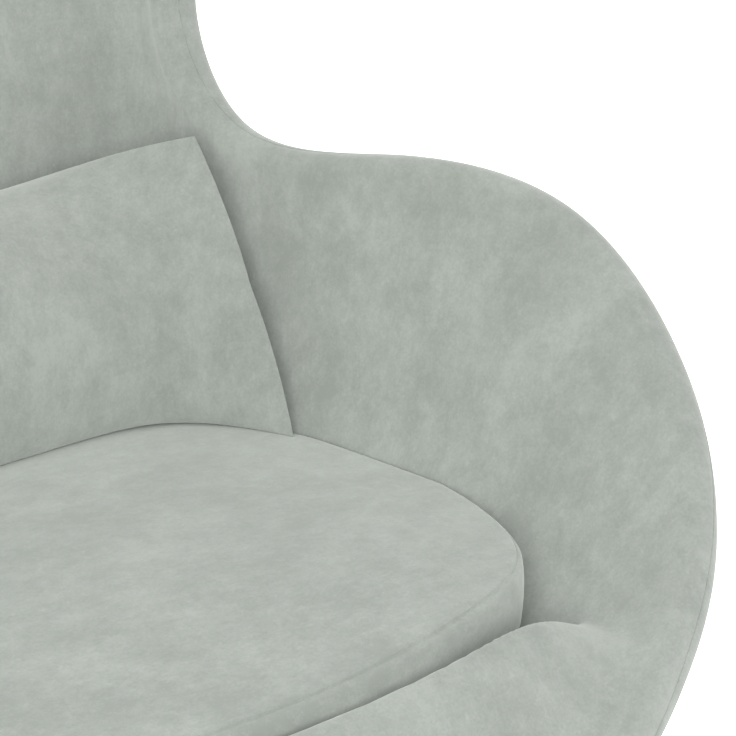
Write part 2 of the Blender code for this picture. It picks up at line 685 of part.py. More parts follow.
def make_seat_mount(finishes, parent):
    """The plate in the pan, with blind holes for the bolts of the swivel."""
    profile = [
        (0.0, FLANGE_BOTTOM),
        (MOUNT_FLANGE_RADIUS, FLANGE_BOTTOM),
        (MOUNT_FLANGE_RADIUS, FLANGE_TOP),
        (MOUNT_BOSS_RADIUS, FLANGE_TOP),
        (MOUNT_BOSS_RADIUS, MOUNT_TOP),
        (0.0, MOUNT_TOP),
    ]
    plate = place("seat_mount_plate", turned(profile, ROUND_SEGMENTS), finishes["steel"], parent)
    top = FLANGE_BOTTOM + BOLT_GRIP + 2 * GAP
    for _, spot in bolt_spots():
        cut(plate, moved(rod(BOLT_RADIUS + GAP, FLANGE_BOTTOM - BOLT_GRIP, top), spot))


def make_swivel_head(finishes, parent):
    """Top plate, hub and spindle in one, grooved near the tail for the retaining ring."""
    groove_top = RING_TOP + GAP
    groove_bottom = RING_TOP - RING - GAP
    groove_radius = SPINDLE_RADIUS - RING_GROOVE
    profile = [
        (0.0, SPINDLE_BOTTOM),
        (SPINDLE_RADIUS, SPINDLE_BOTTOM),
        (SPINDLE_RADIUS, groove_bottom),
        (groove_radius, groove_bottom),
        (groove_radius, groove_top),
        (SPINDLE_RADIUS, groove_top),
        (SPINDLE_RADIUS, SWIVEL_HUB_BOTTOM),
        (SWIVEL_HUB_RADIUS, SWIVEL_HUB_BOTTOM),
        (SWIVEL_HUB_RADIUS, PLATE_BOTTOM),
        (SWIVEL_PLATE_RADIUS, PLATE_BOTTOM),
        (SWIVEL_PLATE_RADIUS, PLATE_TOP),
        (0.0, PLATE_TOP),
    ]
    head = place("swivel_spindle", turned(profile, ROUND_SEGMENTS), finishes["steel"], parent)
    for _, spot in bolt_spots():
        cut(head, moved(rod(BOLT_RADIUS + GAP, PLATE_BOTTOM - WASHER, PLATE_TOP + WASHER), spot))


def ring_profile(inner, outer, bottom, top):
    return [(inner, bottom), (outer, bottom), (outer, top), (inner, top)]


def make_bolts(finishes, parent):
    washer_top = PLATE_BOTTOM - GAP
    head_top = washer_top - WASHER - GAP
    head_bottom = head_top - BOLT_HEAD
    profile = [
        (0.0, head_bottom + BOLT_SOCKET),
        (BOLT_SOCKET_RADIUS, head_bottom + BOLT_SOCKET),
        (BOLT_SOCKET_RADIUS, head_bottom),
        (BOLT_HEAD_RADIUS, head_bottom),
        (BOLT_HEAD_RADIUS, head_top),
        (BOLT_RADIUS, head_top),
        (BOLT_RADIUS, FLANGE_BOTTOM + BOLT_GRIP),
        (0.0, FLANGE_BOTTOM + BOLT_GRIP),
    ]
    washer = ring_profile(BOLT_RADIUS + GAP, WASHER_RADIUS, washer_top - WASHER, washer_top)
    for number, spot in bolt_spots():
        place(f"mount_bolt_{number}", moved(turned(profile, SMALL_SEGMENTS), spot), finishes["bolt"], parent)
        place(f"mount_washer_{number}", moved(turned(washer, SMALL_SEGMENTS), spot), finishes["bolt"], parent)


def make_bearing(finishes, base, seat):
    """Thrust bearing, bushes and the ring that keeps the spindle in the column."""
    bore = SPINDLE_RADIUS + RUNNING_GAP
    for name, bottom, height, finish, parent in (
        ("thrust_race_upper", UPPER_RACE_BOTTOM, RACE, finishes["bearing"], seat),
        ("thrust_cage", CAGE_BOTTOM, CAGE, finishes["brass"], base),
        ("thrust_race_lower", LOWER_RACE_BOTTOM, RACE, finishes["bearing"], base),
    ):
        ring = turned(ring_profile(bore, RACE_RADIUS, bottom, bottom + height), ROUND_SEGMENTS)
        place(name, ring, finish, parent)
    upper = [
        (BUSH_BORE, COLUMN_TOP - BUSH_LENGTH),
        (BUSH_RADIUS, COLUMN_TOP - BUSH_LENGTH),
        (BUSH_RADIUS, COLUMN_TOP + GAP),
        (COLUMN_RADIUS, COLUMN_TOP + GAP),
        (COLUMN_RADIUS, BUSH_TOP),
        (BUSH_BORE, BUSH_TOP),
    ]
    place("bush_upper", turned(upper, ROUND_SEGMENTS), finishes["nylon"], base)
    lower = ring_profile(BUSH_BORE, BUSH_RADIUS, COLUMN_BOTTOM, COLUMN_BOTTOM + BUSH_LENGTH)
    place("bush_lower", turned(lower, ROUND_SEGMENTS), finishes["nylon"], base)
    washer_bottom = RETAINING_WASHER_TOP - RETAINING_WASHER
    washer = ring_profile(bore, SPINDLE_RADIUS + RETAINING_WASHER_WIDTH, washer_bottom, RETAINING_WASHER_TOP)
    place("retaining_washer", turned(washer, ROUND_SEGMENTS), finishes["bearing"], seat)
    inner = SPINDLE_RADIUS - RING_GROOVE + GAP
    ring = ring_profile(inner, inner + RING_WIDTH, RING_TOP - RING, RING_TOP)
    place("retaining_ring", turned(ring, ROUND_SEGMENTS), finishes["bearing"], seat)


def leg_section(share, fullness):
    """Points round a leg at a share of its reach."""
    half = (LEG_ROOT_WIDTH + (LEG_TIP_WIDTH - LEG_ROOT_WIDTH) * share) / 2
    height = LEG_ROOT_HEIGHT + (LEG_TIP_HEIGHT - LEG_ROOT_HEIGHT) * share
    bottom = GLIDE + GAP + LEG_RISE * (1 - share) ** 2
    points = np.array([(share * LEG_REACH, half * w, bottom + height * h) for w, h in LEG_OUTLINE])
    middle = points.mean(0)
    return middle + (points - middle) * fullness


def leg_bmesh(angle):
    """One leg along X, rounded at the tip, then turned into place."""
    rings = [leg_section(share, fullness) for share, fullness in LEG_SECTIONS]
    points = np.concatenate([[rings[0].mean(0)]] + rings + [[rings[-1].mean(0)]])
    bm = bmesh_of(points, ring_faces(len(rings), len(LEG_OUTLINE), True, True))
    bmesh.ops.rotate(bm, verts=bm.verts, cent=(0, 0, 0), matrix=Matrix.Rotation(angle, 3, "Z"))
    return bm


def leg_angles():
    return [math.tau * (i + 0.5) / LEG_COUNT for i in range(LEG_COUNT)]


def glide_spots():
    reach = LEG_REACH - GLIDE_INSET
    for number, angle in enumerate(leg_angles(), 1):
        yield number, Vector((reach * math.cos(angle), reach * math.sin(angle), 0.0))


def make_star_base(finishes, parent):
    bore = COLUMN_RADIUS + GAP
    ledge = COLUMN_BOTTOM - GAP
    hub = [(HUB_RADIUS * r, HUB_FOOT + HUB_HEIGHT * h) for r, h in HUB_OUTLINE]
    hub += [(bore, HUB_FOOT + HUB_HEIGHT), (bore, ledge), (LEDGE_BORE, ledge), (LEDGE_BORE, HUB_FOOT)]
    base = place("star_base", turned(hub, ROUND_SEGMENTS), finishes["aluminium"], parent)
    for angle in leg_angles():
        cut(base, leg_bmesh(angle), "UNION")
    for _, spot in glide_spots():
        cut(base, moved(rod(GLIDE_STEM_RADIUS + GAP, 0.0, GLIDE + GLIDE_STEM + 2 * GAP), spot))


def make_base(finishes, parent):
    make_star_base(finishes, parent)
    column = ring_profile(COLUMN_BORE, COLUMN_RADIUS, COLUMN_BOTTOM, COLUMN_TOP)
    place("column_tube", turned(column, ROUND_SEGMENTS), finishes["aluminium"], parent)
    glide = [
        (0.0, 0.0),
        (GLIDE_FOOT_RADIUS, 0.0),
        (GLIDE_RADIUS, GLIDE_CHAMFER),
        (GLIDE_RADIUS, GLIDE),
        (GLIDE_STEM_RADIUS, GLIDE),
        (GLIDE_STEM_RADIUS, GLIDE + GLIDE_STEM),
        (0.0, GLIDE + GLIDE_STEM),
    ]
    for number, spot in glide_spots():
        place(f"glide_{number}", moved(turned(glide, SMALL_SEGMENTS), spot), finishes["nylon"], parent)
    top = HUB_FOOT - GAP
    plug = LEDGE_BORE - GAP
    cap = [
        (0.0, top - CAP_FLANGE),
        (CAP_RADIUS, top - CAP_FLANGE),
        (CAP_RADIUS, top),
        (plug, top),
        (plug, top + CAP_PLUG),
        (0.0, top + CAP_PLUG),
    ]
    place("hub_cap", turned(cap, ROUND_SEGMENTS), finishes["nylon"], parent)


def main():
    for old in list(bpy.data.objects):
        bpy.data.objects.remove(old, do_unlink=True)
    finishes = {
        "fabric": material("sage_suede", (0.40, 0.43, 0.39), 0.85),
        "foam": material("cut_foam", (0.80, 0.74, 0.58), 0.95),
        "fibre": material("fibre_fill", (0.85, 0.85, 0.83), 0.95),
        "laminate": material("glass_laminate", (0.30, 0.31, 0.28), 0.55),
        "zip": material("zip_tape", (0.33, 0.36, 0.32), 0.75),
        "steel": material("painted_steel", (0.05, 0.05, 0.05), 0.45, 0.6),
        "bolt": material("zinc_steel", (0.55, 0.55, 0.56), 0.35, 1.0),
        "bearing": material("bearing_steel", (0.60, 0.60, 0.62), 0.25, 1.0),
        "brass": material("brass_cage", (0.70, 0.52, 0.24), 0.35, 1.0),
        "nylon": material("black_nylon", (0.02, 0.02, 0.02), 0.5),
        "aluminium": material("polished_aluminium", (0.78, 0.78, 0.80), 0.2, 1.0),
    }
    base = body("base", (0, 0, 0))
    seat = body("seat", (0, 0, PLATE_TOP), base)
    cushion = body("seat_cushion", (0, CUSHION_CENTRE, PAN_HEIGHT), seat)
    rest = pillow_seat()
    pillow = body("pillow", tuple(rest), cushion)
    make_upholstered_shell(finishes, seat)
    make_seat_mount(finishes, seat)
    make_swivel_head(finishes, seat)
    make_bolts(finishes, seat)
    make_bearing(finishes, base, seat)
    make_base(finishes, base)
    make_seat_cushion(finishes, cushion)
    make_pillow(finishes, pillow, rest)


main()
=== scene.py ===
"""Looks of the upholstered egg chair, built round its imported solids.

The suede covers repeat the shell's own section curves at a finer step, the seat cushion and the back
pillow are swollen as cloth, and the base is drawn again with round edges. Metres, +Z up, the front
faces -Y.
"""

import math

import bpy
import numpy as np
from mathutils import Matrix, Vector
from mathutils.bvhtree import BVHTree


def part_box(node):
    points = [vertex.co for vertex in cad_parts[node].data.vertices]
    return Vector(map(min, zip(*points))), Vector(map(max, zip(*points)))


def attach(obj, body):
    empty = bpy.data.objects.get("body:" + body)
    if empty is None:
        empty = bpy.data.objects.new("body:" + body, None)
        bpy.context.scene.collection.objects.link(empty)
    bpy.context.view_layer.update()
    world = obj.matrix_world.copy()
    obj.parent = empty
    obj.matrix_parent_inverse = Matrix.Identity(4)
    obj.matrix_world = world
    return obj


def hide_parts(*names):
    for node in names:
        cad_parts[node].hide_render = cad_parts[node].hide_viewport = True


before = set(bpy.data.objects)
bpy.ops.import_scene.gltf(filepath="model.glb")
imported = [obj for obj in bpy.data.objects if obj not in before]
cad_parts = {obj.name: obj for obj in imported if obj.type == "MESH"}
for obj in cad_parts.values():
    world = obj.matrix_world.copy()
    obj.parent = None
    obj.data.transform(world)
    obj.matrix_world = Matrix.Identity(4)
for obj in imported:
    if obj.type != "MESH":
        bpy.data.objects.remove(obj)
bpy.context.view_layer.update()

# Camera, in the photograph's frame of 736 by 736 pixels
FRAME_PIXELS = 736
FOCAL_PIXELS = 2800
SENSOR_MM = 36.0
CAMERA_AZIMUTH = math.radians(-38)
CAMERA_ELEVATION = math.radians(22)
CAMERA_DISTANCE = 1.9
CAMERA_TARGET = Vector((0.256, -0.052, 0.5155))

# Soft studio light: strength of the white surround, lamps as (name, size, power, place), glow of the floor
SURROUND = 0.35
LAMPS = (
    ("overhead", 2.4, 16.0, (-0.7, -0.9, 2.7)),
    ("front", 2.2, 60.0, (-1.5, -2.2, 1.7)),
    ("behind", 2.2, 26.0, (1.5, 2.3, 1.6)),
)
FLOOR_GLOW = 0.72
FLOOR_REACH = 30.0

# Layers of the upholstered shell, from the sitter's side outwards
GAP = 0.0003
COVER = 0.0012
INNER_FOAM = 0.020
SHELL = 0.006
OUTER_FOAM = 0.005
EDGE_GAP = 0.0025
FOAM_DEPTH = COVER + GAP
SHELL_DEPTH = FOAM_DEPTH + INNER_FOAM + GAP
OUTER_FOAM_DEPTH = SHELL_DEPTH + SHELL + GAP
OUTER_COVER_DEPTH = OUTER_FOAM_DEPTH + OUTER_FOAM + GAP
FULL_DEPTH = OUTER_COVER_DEPTH + COVER
EDGE_RADIUS = FULL_DEPTH / 2

# Seat pan, and the sections of the face that the sitter sees, from the back centre round the right arm
# to the front centre: rim, shoulder and hip as (half width, depth, height above the pan)
PAN_HEIGHT = 0.350
PAN_HALF_WIDTH = 0.195
PAN_BACK = 0.170
PAN_FRONT = 0.185
SECTIONS = {
    "head top": ((0.000, 0.352, 0.690), (0.000, 0.265, 0.440), (0.000, 0.258, 0.022)),
    "head side": ((0.200, 0.320, 0.635), (0.187, 0.269, 0.471), (0.124, 0.249, 0.022)),
    "wing": ((0.287, 0.244, 0.503), (0.268, 0.297, 0.412), (0.184, 0.233, 0.022)),
    "wing low": ((0.271, 0.226, 0.367), (0.278, 0.256, 0.305), (0.217, 0.205, 0.022)),
    "neck": ((0.281, 0.157, 0.260), (0.288, 0.186, 0.202), (0.243, 0.167, 0.022)),
    "arm back": ((0.331, 0.042, 0.261), (0.294, 0.073, 0.159), (0.270, 0.099, 0.022)),
    "arm top": ((0.398, -0.076, 0.247), (0.308, -0.058, 0.150), (0.288, 0.005, 0.020)),
    "arm front": ((0.391, -0.197, 0.168), (0.308, -0.160, 0.094), (0.285, -0.090, 0.012)),
    "arm nose": ((0.350, -0.261, 0.099), (0.302, -0.226, 0.044), (0.268, -0.170, 0.008)),
    "lip side": ((0.284, -0.306, 0.048), (0.256, -0.280, 0.018), (0.218, -0.237, 0.004)),
    "lip corner": ((0.172, -0.349, -0.002), (0.165, -0.312, 0.000), (0.145, -0.265, 0.001)),
    "lip": ((0.000, -0.368, -0.015), (0.000, -0.322, -0.006), (0.000, -0.275, 0.000)),
}

# Raised roll of the front lip
LIP_ROLL_HEIGHT = 0.074
LIP_ROLL_BOW = 2.4
LIP_ROLL_START = 0.018
LIP_ROLL_RISE = 0.028
LIP_ROLL_FALL = 0.55
LIP_ROLL_END = 0.292
LIP_ROLL_ROUNDING = 2.0
LIP_ROLL_LEAST = 1e-6

# Rim seam: its angle round the rolled edge, and the radius of the two folds that meet in it
SEAM_ANGLE = math.radians(95)
SEAM_FOLD = 0.0013

# Seat cushion: a bow is the radius of an arc, and sharpness and fullness are powers
CUSHION_CENTRE = -0.055
CUSHION_FRONT = -0.2725
CUSHION_FRONT_BOW = 0.66
CUSHION_HALF_WIDTH = 0.298
CUSHION_WIDEST = -0.080
CUSHION_SIDE_BOW = 0.31
CUSHION_CORNER_SHARPNESS = 20.0
CUSHION_CLEARANCE = 0.0012
CUSHION_SEAM_HEIGHT = 0.080
CUSHION_LOWER_SEAM_HEIGHT = 0.024
CUSHION_SEAM = PAN_HEIGHT + CUSHION_SEAM_HEIGHT
CUSHION_LOWER_SEAM = PAN_HEIGHT + CUSHION_LOWER_SEAM_HEIGHT
CUSHION_UNDERSIDE = CUSHION_LOWER_SEAM + GAP
CUSHION_CROWN = 0.013
CUSHION_CROWN_FULLNESS = 0.8
CUSHION_SWELL_CAP = 0.006
CUSHION_PRESSURE = 4.0
CUSHION_SEAM_SINK = 0.0042
CUSHION_SEAM_DROP = 0.6
CUSHION_BAND_BULGE = 0.007
CUSHION_BULGE_PLACE = 0.65
CUSHION_EASE_STEPS = 81
CUSHION_CORE_INSET = 0.0065
FILL_GAP = 0.0008
WALL_SEARCH = 1.0

# Back pillow: an edge's middle is drawn in, its ears bend forward, sharpness and fullness are powers
PILLOW_WIDTH = 0.508
PILLOW_HEIGHT = 0.226
PILLOW_THICKNESS = 0.118
PILLOW_LEAN = math.radians(28)
PILLOW_UP = np.array((0.0, math.sin(PILLOW_LEAN), math.cos(PILLOW_LEAN)))
PILLOW_FORWARD = np.array((0.0, -math.cos(PILLOW_LEAN), math.sin(PILLOW_LEAN)))
PILLOW_SIDE_DRAW_IN = -0.005
PILLOW_LOW_FLARE = 0.006
PILLOW_TOP_DRAW_IN = 0.041
PILLOW_TOP_SHARPNESS = 4
PILLOW_BOTTOM_DRAW_IN = 0.010
PILLOW_FULLNESS = 0.55
PILLOW_BELLY_FULLNESS = 0.45
PILLOW_BELLY_SHARPNESS = 2.4
PILLOW_BELLY_DROP = 0.8
PILLOW_BELLY_SWELL = 0.34
PILLOW_BELLY_TOP = 0.9
PILLOW_EAR_BEND = 0.088
PILLOW_EAR_SHARPNESS = 6
PILLOW_EAR_EASE = 0.12
PILLOW_SWELL_CAP = 0.009
PILLOW_PRESSURE = 4.0

# Zips: one round the back of the seat cushion's band, one low on the pillow's back
CUSHION_ZIP_HEIGHT = 0.412
CUSHION_ZIP_TURN = math.radians(30)
CUSHION_ZIP_EASE = math.radians(4)
CUSHION_ZIP_RECESS = 0.0024
CUSHION_ZIP_APPROACH = 0.50
PILLOW_ZIP_PLACE = -0.090
PILLOW_ZIP_HALF_LENGTH = 0.158
PILLOW_ZIP_APPROACH = 0.25
ZIP_HALF_WIDTH = 0.009
ZIP_EASE = 0.008
ZIP_PROUD = 0.0003
ZIP_TAPE = 0.0008
ZIP_COLUMNS = 49
ZIP_ROWS = 5
COIL_PITCH = 0.0021
COIL = (0.0014, 0.0048, 0.0010)
STITCH_PITCH = 0.0040
STITCH = (0.0030, 0.0006, 0.0005)
SLIDER = (0.0100, 0.0070, 0.0026)
SLIDER_SQUARENESS = 0.5
SLIDER_COLUMNS = slice(2, 4)
BEAD_SIDES = 8
BEAD_RINGS = ((-0.42, 0.7), (-0.25, 1.0), (0.25, 1.0), (0.42, 0.7))

# Plate in the pan and its bolts
MOUNT_FLANGE_RADIUS = 0.105
MOUNT_FLANGE = 0.008
MOUNT_BOSS_RADIUS = 0.062
BOLT_COUNT = 4
BOLT_CIRCLE = 0.043
BOLT_RADIUS = 0.004
BOLT_HEAD_RADIUS = 0.0066
BOLT_HEAD = 0.0053
BOLT_SOCKET_RADIUS = 0.0028
BOLT_SOCKET = 0.003
WASHER_RADIUS = 0.008
WASHER = 0.0016

# Swivel
RUNNING_GAP = 0.0004
SWIVEL_PLATE_RADIUS = 0.072
SWIVEL_PLATE = 0.006
SWIVEL_HUB_RADIUS = 0.022
SWIVEL_HUB = 0.010
SPINDLE_RADIUS = 0.0135
SPINDLE_TAIL = 0.002
RACE_RADIUS = 0.021
RACE = 0.002
CAGE = 0.003
CAGE_EASE = 0.0007
CAGE_SHORT = 0.0006
NEEDLE_COUNT = 24
NEEDLE_LENGTH = 0.0045
NEEDLE_PROUD = 0.0003
BUSH_WALL = 0.004
BUSH_LENGTH = 0.025
BUSH_FLANGE = 0.002
COLUMN_WALL = 0.0055
RING_GROOVE = 0.0015
RING_WIDTH = 0.004
RING = 0.0016
RETAINING_WASHER_WIDTH = 0.0045
RETAINING_WASHER = 0.0015

# Star base: a leg's outline is in shares of its half width and height, the hub's of its radius and height
LEG_COUNT = 4
LEG_REACH = 0.335
LEG_START = 0.06
LEG_TIP_HEIGHT = 0.026
LEG_TIP_WIDTH = 0.036
LEG_TIP_START = 0.95
LEG_TIP_SHARES = np.array((0.8, 0.5, 0.25, 0.1, 0.0))
LEG_TIP_LEAST = 0.02
LEG_ROOT_HEIGHT = 0.040
LEG_ROOT_WIDTH = 0.056
LEG_RISE = 0.060
LEG_OUTLINE = (
    (-0.82, 0.0), (0.82, 0.0), (1.0, 0.18), (1.0, 0.5), (0.62, 0.9),
    (0.0, 1.0), (-0.62, 0.9), (-1.0, 0.5), (-1.0, 0.18),
)
HUB_RADIUS = 0.046
HUB_FOOT = 0.050
HUB_HEIGHT = 0.078
HUB_LEDGE = 0.014
HUB_OUTLINE = ((1.0, 0.0), (0.98, 0.6), (0.82, 0.92), (0.72, 1.0))
CAP_RADIUS = 0.030
CAP_FLANGE = 0.003
CAP_PLUG = 0.005
GLIDE_RADIUS = 0.016
GLIDE_FOOT_RADIUS = 0.0145
GLIDE_CHAMFER = 0.002
GLIDE = 0.008
GLIDE_STEM_RADIUS = 0.004
GLIDE_STEM = 0.014
GLIDE_INSET = 0.024

# Heights of the swivel, from the seat pan down, and the radii that follow from the spindle's
MOUNT_TOP = PAN_HEIGHT - SHELL_DEPTH
FLANGE_TOP = MOUNT_TOP - SHELL - GAP
FLANGE_BOTTOM = FLANGE_TOP - MOUNT_FLANGE
PLATE_TOP = FLANGE_BOTTOM - GAP
PLATE_BOTTOM = PLATE_TOP - SWIVEL_PLATE
SWIVEL_HUB_BOTTOM = PLATE_BOTTOM - SWIVEL_HUB
UPPER_RACE_BOTTOM = SWIVEL_HUB_BOTTOM - GAP - RACE
CAGE_BOTTOM = UPPER_RACE_BOTTOM - GAP - CAGE
LOWER_RACE_BOTTOM = CAGE_BOTTOM - GAP - RACE
BUSH_TOP = LOWER_RACE_BOTTOM - GAP
COLUMN_TOP = BUSH_TOP - BUSH_FLANGE - GAP
COLUMN_BOTTOM = HUB_FOOT + HUB_LEDGE + GAP
CAGE_RADIUS = RACE_RADIUS - CAGE_SHORT
GROOVE_RADIUS = SPINDLE_RADIUS - RING_GROOVE
BUSH_BORE = SPINDLE_RADIUS + RUNNING_GAP
BUSH_RADIUS = BUSH_BORE + BUSH_WALL
COLUMN_BORE = BUSH_RADIUS + GAP
COLUMN_RADIUS = COLUMN_BORE + COLUMN_WALL
RETAINING_WASHER_TOP = COLUMN_BOTTOM - GAP
RING_TOP = RETAINING_WASHER_TOP - RETAINING_WASHER - GAP
SPINDLE_BOTTOM = RING_TOP - RING - SPINDLE_TAIL
LEDGE_BORE = SPINDLE_RADIUS + RETAINING_WASHER_WIDTH + RUNNING_GAP

# Fineness of the meshes
SHELL_COLUMNS = 396
SHELL_ROWS = 72
PAN_SHARES = (0.25, 0.5, 0.75)
RIM_STEPS = 10
FOLD_SHARES = (1.0, 0.7, 0.42, 0.2, 0.05)
CUSHION_CELLS = 64
CUSHION_EDGE_SHARES = (0.98, 0.9935)
CUSHION_SEAM_ROWS = (0.0016, 0.005)
CUSHION_BAND_TOP = 0.011
CUSHION_BAND_FOOT = 0.005
CUSHION_BAND_ROWS = 7
CUSHION_FOOT_ROWS = 3
CUSHION_OUTLINE_STEPS = 720
PILLOW_COLUMNS = 72
PILLOW_ROWS = 40
CLOTH_FRAMES = 20
CLOTH_BENDING = 0.5
PRESS_GAP = 0.0006
TURNED_SEGMENTS = 96
TURNED_EASE = 0.0006
SMALL_EASE = 0.0003
EASE_MOST = 0.4
BOLT_SEGMENTS = 32
NEEDLE_SEGMENTS = 12
GLIDE_SEGMENTS = 40
LEG_RINGS = 22
LEG_SEGMENTS = 36
SHARP_EDGE = math.radians(25)
CAST_VOXEL = 0.0024
CAST_SMOOTHING = 10
CAST_SMOOTH_FACTOR = 0.5


def linear(hex_colour):
    """An sRGB hex value as the linear colour that shaders take."""
    channels = [int(hex_colour[i : i + 2], 16) / 255 for i in (1, 3, 5)]
    return [c / 12.92 if c <= 0.04045 else ((c + 0.055) / 1.055) ** 2.4 for c in channels] + [1.0]


def feed(tree, node, inputs):
    """Gives inputs of a node their values, or the outputs that they follow."""
    for name, value in inputs.items():
        if isinstance(value, bpy.types.Node):
            value = value.outputs[0]
        if isinstance(value, bpy.types.NodeSocket):
            tree.links.new(value, node.inputs[name])
        else:
            node.inputs[name].default_value = value


def add(tree, kind, inputs=None, stops=(), **settings):
    """Adds a node with its settings and links and, on a colour ramp, its stops as (place, hex colour)."""
    node = tree.nodes.new(kind)
    for name, value in settings.items():
        setattr(node, name, value)
    feed(tree, node, inputs or {})
    while stops and len(node.color_ramp.elements) < len(stops):
        node.color_ramp.elements.new(0.5)
    for i, (place, colour) in enumerate(stops):
        node.color_ramp.elements[i].position = place
        node.color_ramp.elements[i].color = linear(colour)
    return node


def new_finish(name, sockets):
    """A material with the values that are the same all over it, and its place on the piece."""
    finish = bpy.data.materials.new(name)
    finish.use_nodes = True
    tree = finish.node_tree
    shader = tree.nodes["Principled BSDF"]
    feed(tree, shader, sockets)
    return finish, tree, shader, add(tree, "ShaderNodeTexCoord").outputs["Object"]


def brushed_suede(name, strokes):
    """Brushed microfibre suede: a short nap that lies the way hands stroked it.

    The eye sees no gloss, soft clouds of about 60 mm drawn out along the strokes, pale scuffs of about
    7 mm, a fine grain, and a pale bloom where the nap is seen from the side. The grain of 0.3 mm is drawn
    at 1.6 mm, so that it shows. The strokes are the pattern's scale along X, Y and Z.
    """
    finish, tree, shader, place = new_finish(
        name,
        {
            "Roughness": 0.9,
            "Diffuse Roughness": 0.7,
            "Specular IOR Level": 0.15,
            "Sheen Weight": 0.85,
            "Sheen Roughness": 0.45,
            "Sheen Tint": linear("#E6EAE4"),
        },
    )
    laid = add(tree, "ShaderNodeMapping", {"Vector": place, "Scale": strokes})
    cloud = {"Vector": laid, "Scale": 1 / 0.060, "Detail": 6.0, "Roughness": 0.9}
    clouds = add(tree, "ShaderNodeTexNoise", cloud)
    scuff = {"Vector": laid, "Scale": 1 / 0.007, "Detail": 4.0, "Roughness": 0.7}
    scuffs = add(tree, "ShaderNodeTexNoise", scuff)
    paler = {"Value": scuffs, "From Min": 0.60, "From Max": 0.78, "To Max": 0.16}
    pale = add(tree, "ShaderNodeMapRange", paler)
    grain = add(tree, "ShaderNodeTexNoise", {"Vector": place, "Scale": 1 / 0.0016, "Detail": 2.0})
    tone = add(tree, "ShaderNodeMath", {0: clouds, 1: 1.05, 2: pale}, operation="MULTIPLY_ADD")
    tone = add(tree, "ShaderNodeMath", {0: grain, 1: 0.20, 2: tone}, operation="MULTIPLY_ADD")
    stops = ((0.5, "#A1A7A0"), (0.64, "#ABB1AA"), (0.78, "#B5BBB4"))
    colour = add(tree, "ShaderNodeValToRGB", {"Fac": tone}, stops)
    bump = add(tree, "ShaderNodeBump", {"Height": tone, "Strength": 0.25, "Distance": 0.0008})
    feed(tree, shader, {"Base Color": colour, "Normal": bump})
    return finish


def cut_foam():
    """Cut polyether foam: matt and cream, with open cells of about 1.5 mm and yellowed patches."""
    finish, tree, shader, place = new_finish("cut_polyether_foam", {"Roughness": 0.95})
    cells = add(tree, "ShaderNodeTexVoronoi", {"Vector": place, "Scale": 1 / 0.0015})
    patches = add(tree, "ShaderNodeTexNoise", {"Vector": place, "Scale": 1 / 0.060, "Detail": 3.0})
    colour = add(tree, "ShaderNodeValToRGB", {"Fac": patches}, ((0.3, "#D8CDA9"), (0.7, "#E6DDC2")))
    bump = add(tree, "ShaderNodeBump", {"Height": cells, "Strength": 0.6, "Distance": 0.0006})
    feed(tree, shader, {"Base Color": colour, "Normal": bump})
    return finish


def fibre_fill():
    """Carded polyester fibre: white and loose, with strands across the pillow, drawn at 2 mm to show."""
    sockets = {"Roughness": 0.9, "Sheen Weight": 0.3}
    finish, tree, shader, place = new_finish("carded_polyester_fibre", sockets)
    drawn = add(tree, "ShaderNodeMapping", {"Vector": place, "Scale": (0.12, 1.0, 1.0)})
    strand = {"Vector": drawn, "Scale": 1 / 0.002, "Detail": 3.0, "Distortion": 1.5}
    strands = add(tree, "ShaderNodeTexNoise", strand)
    colour = add(tree, "ShaderNodeValToRGB", {"Fac": strands}, ((0.3, "#D9D9D4"), (0.7, "#F0F0EC")))
    bump = add(tree, "ShaderNodeBump", {"Height": strands, "Strength": 0.5, "Distance": 0.001})
    feed(tree, shader, {"Base Color": colour, "Normal": bump})
    return finish


def glass_laminate():
    """Hand-laid glass-fibre laminate: grey-green resin over 12 mm clumps of strand that gloss unevenly."""
    finish, tree, shader, place = new_finish("glass_fibre_laminate", {"IOR": 1.55})
    strand = {"Vector": place, "Scale": 1 / 0.012, "Detail": 5.0, "Distortion": 3.0}
    mat = add(tree, "ShaderNodeTexNoise", strand)
    colour = add(tree, "ShaderNodeValToRGB", {"Fac": mat}, ((0.35, "#7C8273"), (0.65, "#A3A899")))
    rough = add(tree, "ShaderNodeMapRange", {"Value": mat, "To Min": 0.35, "To Max": 0.65})
    bump = add(tree, "ShaderNodeBump", {"Height": mat, "Strength": 0.4, "Distance": 0.0008})
    feed(tree, shader, {"Base Color": colour, "Roughness": rough, "Normal": bump})
    return finish


def woven_tape():
    """Woven polyester zip tape: a shade darker than the suede, with fine ribs drawn at 1.2 mm to show."""
    sockets = {"Roughness": 0.8, "Sheen Weight": 0.15}
    finish, tree, shader, place = new_finish("woven_polyester_tape", sockets)
    # A wave texture of scale 1 repeats every tau / 20
    rib = {"Vector": place, "Scale": math.tau / 20 / 0.0012}
    ribs = add(tree, "ShaderNodeTexWave", rib, bands_direction="Z")
    thread = add(tree, "ShaderNodeTexNoise", {"Vector": place, "Scale": 1 / 0.002, "Detail": 2.0})
    tone = add(tree, "ShaderNodeMath", {0: ribs, 1: thread}, operation="MULTIPLY")
    colour = add(tree, "ShaderNodeValToRGB", {"Fac": tone}, ((0.0, "#7F857E"), (0.6, "#979D95")))
    bump = add(tree, "ShaderNodeBump", {"Height": tone, "Strength": 0.5, "Distance": 0.0004})
    feed(tree, shader, {"Base Color": colour, "Normal": bump})
    return finish


